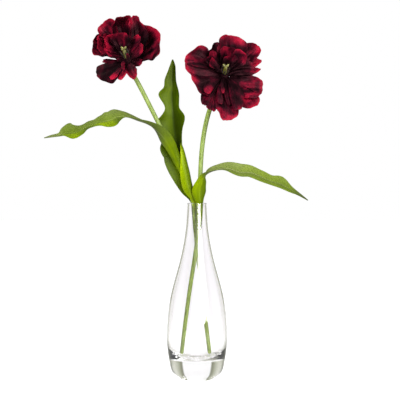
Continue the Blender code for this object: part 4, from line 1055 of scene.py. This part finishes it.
def petal_points(petal, root_height, rng, grid):
    """Bends the flat grid to a rounded, ruffled petal that narrows to a claw; and how near the
    margin and how far along each point is."""
    phases = [rng.uniform(0, math.tau) for _ in range(4)]
    ripples = rng.choice((4, 5))
    net = petal_net(petal, root_height)

    def on_net(u, v):
        return bowed([bowed(row, u) for row in net], v)

    size = min((Vector(petal.left) - Vector(petal.right)).length / 30, 1.0)
    bent, zones = [], []
    for x, y in grid:
        # a square laid on a disc, so that the margin is one round line, a little fuller at the corners
        x, y = x * math.sqrt(1 - y * y / 2), y * math.sqrt(1 - x * x / 2)
        rim = math.hypot(x, y)
        round_way = math.atan2(x, y)
        full = abs(math.sin(2 * round_way)) * PETAL_FULLNESS * rim
        x, y = x * (1 + full), y * (1 + full)
        far = eased((y + 1) * 0.9)
        notch = 1 + far * rim**2 * (
            0.014 * math.sin(ripples * round_way + phases[0]) + 0.012 * math.sin(7 * round_way + phases[1])
        )
        # finer frays in the margin than the solid has
        notch += far * rim**6 * 0.012 * math.sin(17 * round_way + phases[3] + 2 * math.sin(3 * round_way))
        x, y = x * notch, y * notch
        point = on_net(x, y)
        step = 0.02
        across = on_net(x + step, y) - on_net(x - step, y)
        along = on_net(x, y + step) - on_net(x, y - step)
        facing = across.cross(along).normalized()
        ruffle = petal.wave * far * rim**3 * math.sin(ripples * round_way + phases[2])
        # lengthwise folds, a crease along the middle and a margin that rolls back
        ruffle += size * BROAD_FOLD * far * math.sin(6.5 * x + phases[3]) * (0.5 + 0.5 * rim)
        ruffle += size * FINE_FOLD * far * math.sin(13 * x + 3 * y + phases[1])
        ruffle -= size * CREASE * far * math.exp(-((x / 0.1) ** 2)) * (1 - 0.5 * rim)
        ruffle += size * RIM_RUFFLE * far * rim**4 * math.sin(11 * round_way + phases[1])
        ruffle -= size * (ROLL + math.sin(phases[0])) * far * rim**9
        bent.append(point + facing * ruffle)
        zones.append((rim * far, (y + 1) / 2))
    return bent, zones


def make_petal(name, petal, root_height, rng, home):
    sheet, grid = flat_sheet(name, PETAL_COLUMNS, PETAL_ROWS)
    bent, zones = petal_points(petal, root_height, rng, grid)
    for vert, where in zip(sheet.data.vertices, bent):
        vert.co = (home @ where) * MM
    painted(sheet, [(min(rim, 1.0), min(max(share, 0), 1), petal.blush_and_light) for rim, share in zones])
    thickened(sheet, [1.0 - 0.65 * rim**4 for rim, _ in zones], PETAL_THICKNESS)
    subdivided(sheet, 1)
    smooth(sheet)
    return sheet


def make_receptacle(name, home):
    """The knob that the petals grow from: a disc drawn up and rounded over."""
    rings = [(0.55, 0.0), (0.85, 0.18), (1.0, 0.45), (0.94, 0.72), (0.7, 0.9), (0.4, 0.97)]
    knob = turned_up(name, [(r * RECEPTACLE_RADIUS, h * RECEPTACLE_HEIGHT) for r, h in rings], 12, home)
    # the knob takes the values of a petal's root, near black with the root's painted shade
    painted(knob, [(0.1, 0.1, 0.1)] * len(knob.data.vertices))
    subdivided(knob, 1)
    smooth(knob)
    return knob


def turned_up(name, rings, sides, home):
    """A round solid: a disc extruded from ring to ring along the home frame's axis."""
    deselect()
    bpy.ops.mesh.primitive_circle_add(
        vertices=sides, radius=rings[0][0] * MM, fill_type="NGON", location=(0, 0, rings[0][1] * MM)
    )
    piece = added(name)
    opened()
    raised(rings)
    closed()
    settle(piece, home)
    return piece


def settle(piece, home):
    """Moves a piece that was made at the origin, in metres, to its place in a frame in millimetres."""
    piece.data.transform(Matrix.Scale(MM, 4) @ home @ Matrix.Scale(1 / MM, 4))
    piece.data.update()


def make_bloom(name, bloom, look):
    home = bloom_frame(bloom)
    rng = random.Random(bloom.seed)
    petals = []
    for level, whorl in zip(WHORL_LEVELS, (bloom.outer, bloom.middle, bloom.inner)):
        for petal in whorl:
            i = len(petals)
            root_height = RECEPTACLE_HEIGHT * 0.4 + level + i * SPIRAL_STEP
            petals.append(make_petal(f"{name}_{i}", petal, root_height, rng, home))
    whole = joined(name, [*petals, make_receptacle(name + "_knob", home)])
    dress(whole, look, "petal_red", name)
    return whole


def make_pistil(name, bloom, look):
    """A three-sided ovary with a lobed stigma on top."""
    home = bloom_frame(bloom)
    foot = RECEPTACLE_HEIGHT + GAP
    rings = [(0.8, 0.0), (0.95, 0.1), (1.0, 0.3), (0.95, 0.6), (0.82, 0.8), (0.62, 0.9), (0.45, 0.94)]
    ovary = turned_up(
        name, [(r * PISTIL_RADIUS, foot + h * PISTIL_HEIGHT) for r, h in rings], 12, Matrix.Identity(4)
    )
    for vert in ovary.data.vertices:
        a = math.atan2(vert.co.y, vert.co.x)
        k = 1 + 0.12 * math.cos(3 * (a - 0.5))
        vert.co.x *= k
        vert.co.y *= k
    pieces = [ovary]
    for i in range(3):
        a = math.tau * i / 3 + 0.5
        lean = Vector((math.cos(a), math.sin(a), 0.8))
        where = lean * 1.9
        where.z = foot + PISTIL_HEIGHT * 0.93
        pieces.append(bead(f"{name}_lobe_{i}", LOBE_RADIUS, LOBE_LENGTH, where, lean))
    whole = joined(name, pieces)
    settle(whole, home)
    subdivided(whole, 1)
    smooth(whole)
    dress(whole, look, "pistil_yellow", name)
    return whole


def bead(name, radius, length, where, lean):
    """A ball drawn out to a length, leaned to a direction."""
    deselect()
    bpy.ops.mesh.primitive_uv_sphere_add(
        segments=12,
        ring_count=8,
        radius=radius * MM,
        location=Vector(where) * MM,
        rotation=Vector(lean).to_track_quat("Z", "Y").to_euler(),
        scale=(1, 1, length / 2 / radius),
    )
    return added(name)


def make_stamens(name, bloom, filament_look, anther_look):
    home = bloom_frame(bloom)
    low = RECEPTACLE_HEIGHT + GAP
    pieces = []
    for i in range(6):
        a = math.tau * i / 6 + 0.2
        out = Vector((math.cos(a), math.sin(a), 0.0))
        lean = (out * 0.22 + Vector((0, 0, 1))).normalized()
        foot = out * STAMEN_RING_RADIUS + Vector((0, 0, low + 0.5))
        middle = foot + lean * (STAMEN_HEIGHT * 0.3)
        top = foot + lean * (STAMEN_HEIGHT * 0.72)
        filament = bead(f"{name}_filament_{i}", 0.55, STAMEN_HEIGHT * 0.7, middle, lean)
        filament.data.materials.append(filament_look)
        anther = bead(f"{name}_anther_{i}", 1.0, 5.5, top, lean)
        anther.data.materials.append(anther_look)
        pieces += [filament, anther]
    whole = joined(name, pieces)
    settle(whole, home)
    subdivided(whole, 1)
    smooth(whole)
    place(whole, "pistil_yellow", name)
    return whole


# Studio

PHOTO_WIDTH = 500.0  # of what the photograph shows at the vase
CAMERA_DISTANCE = 1600.0
CAMERA_SIDE, CAMERA_HEIGHT = 3.75, 223.75


def room_tone(tree, way, on_flowers, stops):
    """Plain white to the camera. What glass and gloss show of it has the tones of the stops, from
    the diagonals to straight behind and beside, and it lights matt surfaces at one lower level."""
    parts = node(tree, "SeparateXYZ", {"Vector": way}).outputs
    angle = node(tree, "Math", {0: parts["Y"], 1: parts["X"]}, operation="ARCTAN2").outputs[0]
    walls = node(tree, "Math", {0: weighed(tree, 0.0, (angle, 4.0))}, operation="COSINE").outputs[0]
    share = node(tree, "MapRange", {"Value": walls, "From Min": -1.0}).outputs["Result"]
    tone = node(tree, "ValToRGB", {"Fac": share}, stops).outputs["Color"]
    path = node(tree, "LightPath").outputs
    for ray, level in (("Is Diffuse Ray", on_flowers), ("Is Camera Ray", 1.0)):
        seen = {"Factor": path[ray], "A": tone, "B": (level, level, level, 1.0)}
        tone = node(tree, "Mix", seen, data_type="RGBA").outputs["Result"]
    return tone


def soft_box(name, width, height, energy, place, aim, unseen=()):
    """A rectangular lamp that faces a point, and doesn't show to the kinds of light in unseen."""
    lamp = bpy.data.lights.new(name, "AREA")
    lamp.shape = "RECTANGLE"
    lamp.size, lamp.size_y = width, height
    lamp.energy = energy
    box = bpy.data.objects.new(name, lamp)
    bpy.context.scene.collection.objects.link(box)
    box.location = place
    box.rotation_euler = (Vector(aim) - box.location).to_track_quat("-Z", "Y").to_euler()
    for kind in ("camera", *unseen):
        setattr(box, "visible_" + kind, False)


def studio():
    """A white floor in a soft white room, both greyer on the diagonals in the glass, and soft boxes."""
    deselect()
    bpy.ops.mesh.primitive_circle_add(vertices=64, radius=12, fill_type="NGON", location=(0, 0, -0.0002))
    floor = bpy.context.object
    floor.name = "floor"
    paper, tree, shader = finish(
        "white paper sweep",
        {"Base Color": linear("#a4a4a4"), "Roughness": 0.9, "Emission Strength": 1.0},
    )
    where = node(tree, "TexCoord").outputs["Object"]
    glow = room_tone(tree, where, 0.3, ((0.25, "#b0b2a4"), (0.45, "#cccdc8"), (0.7, "#e9e8ea")))
    tree.links.new(glow, shader.inputs["Emission Color"])
    floor.data.materials.append(paper)

    world = bpy.data.worlds.new("soft white room")
    bpy.context.scene.world = world
    world.use_nodes = True
    tree = world.node_tree
    back = tree.nodes["Background"]
    way = node(tree, "TexCoord").outputs["Generated"]
    tones = ((0.0, "#cbccbc"), (0.25, "#a4a890"), (0.42, "#7e806a"), (0.48, "#7e806a"), (0.58, "#ffffff"))
    tree.links.new(room_tone(tree, way, 0.2, tones), back.inputs["Color"])
    back.inputs["Strength"].default_value = 1.0

    soft_box("tall soft box", 0.6, 1.3, 22, (0.75, -1.1, 0.75), (0, 0, 0.25))
    # a tall white card that only gloss shows: the long highlight on the glass
    soft_box("tall card", 0.7, 1.5, 66, (0.45, -1.25, 0.8), (0, 0, 0.2), ("diffuse", "transmission"))
    # a second soft box at the upper left, kept out of all gloss and glass
    soft_box("left soft box", 0.7, 0.7, 25, (-0.8, -0.9, 1.0), (0, 0, 0.3), ("glossy", "transmission"))


def camera():
    view = bpy.data.cameras.new("camera")
    view.sensor_width = 36.0
    view.lens = view.sensor_width * CAMERA_DISTANCE / PHOTO_WIDTH
    made = bpy.data.objects.new("camera", view)
    bpy.context.scene.collection.objects.link(made)
    made.location = Vector((CAMERA_SIDE, -CAMERA_DISTANCE, CAMERA_HEIGHT)) * MM
    made.rotation_euler = (math.radians(90), 0, 0)
    bpy.context.scene.camera = made


# All of it

camera()
studio()
stem_look, leaf_look, petal_look = tulip_stem(), tulip_leaf(), tulip_petal()
pistil_look, anther_look = tulip_pistil(), tulip_anther()
make_vase()
make_stem("left_stem", LEFT_STEM, stem_look)
make_stem("right_stem", RIGHT_STEM, stem_look)
make_leaf("left_leaf_upright", UPRIGHT_CLASPS, UPRIGHT_BLADE, 6.5, 0.4, UPRIGHT_TONES_AND_SHADE, leaf_look)
make_leaf("left_leaf_arching", ARCHING_CLASPS, ARCHING_BLADE, 6.0, 1.2, ARCHING_TONES_AND_SHADE, leaf_look)
make_leaf("right_leaf_drooping", DROOPING_CLASPS, DROOPING_BLADE, 4.0, 0.6, DROOPING_TONES_AND_SHADE, leaf_look)
for side, bloom in (("left", LEFT_BLOOM), ("right", RIGHT_BLOOM)):
    make_bloom(side + "_bloom", bloom, petal_look)
    make_pistil(side + "_pistil", bloom, pistil_look)
    make_stamens(side + "_stamens", bloom, anther_look, anther_look)
deselect()
bpy.context.scene.view_settings.view_transform = "Standard"
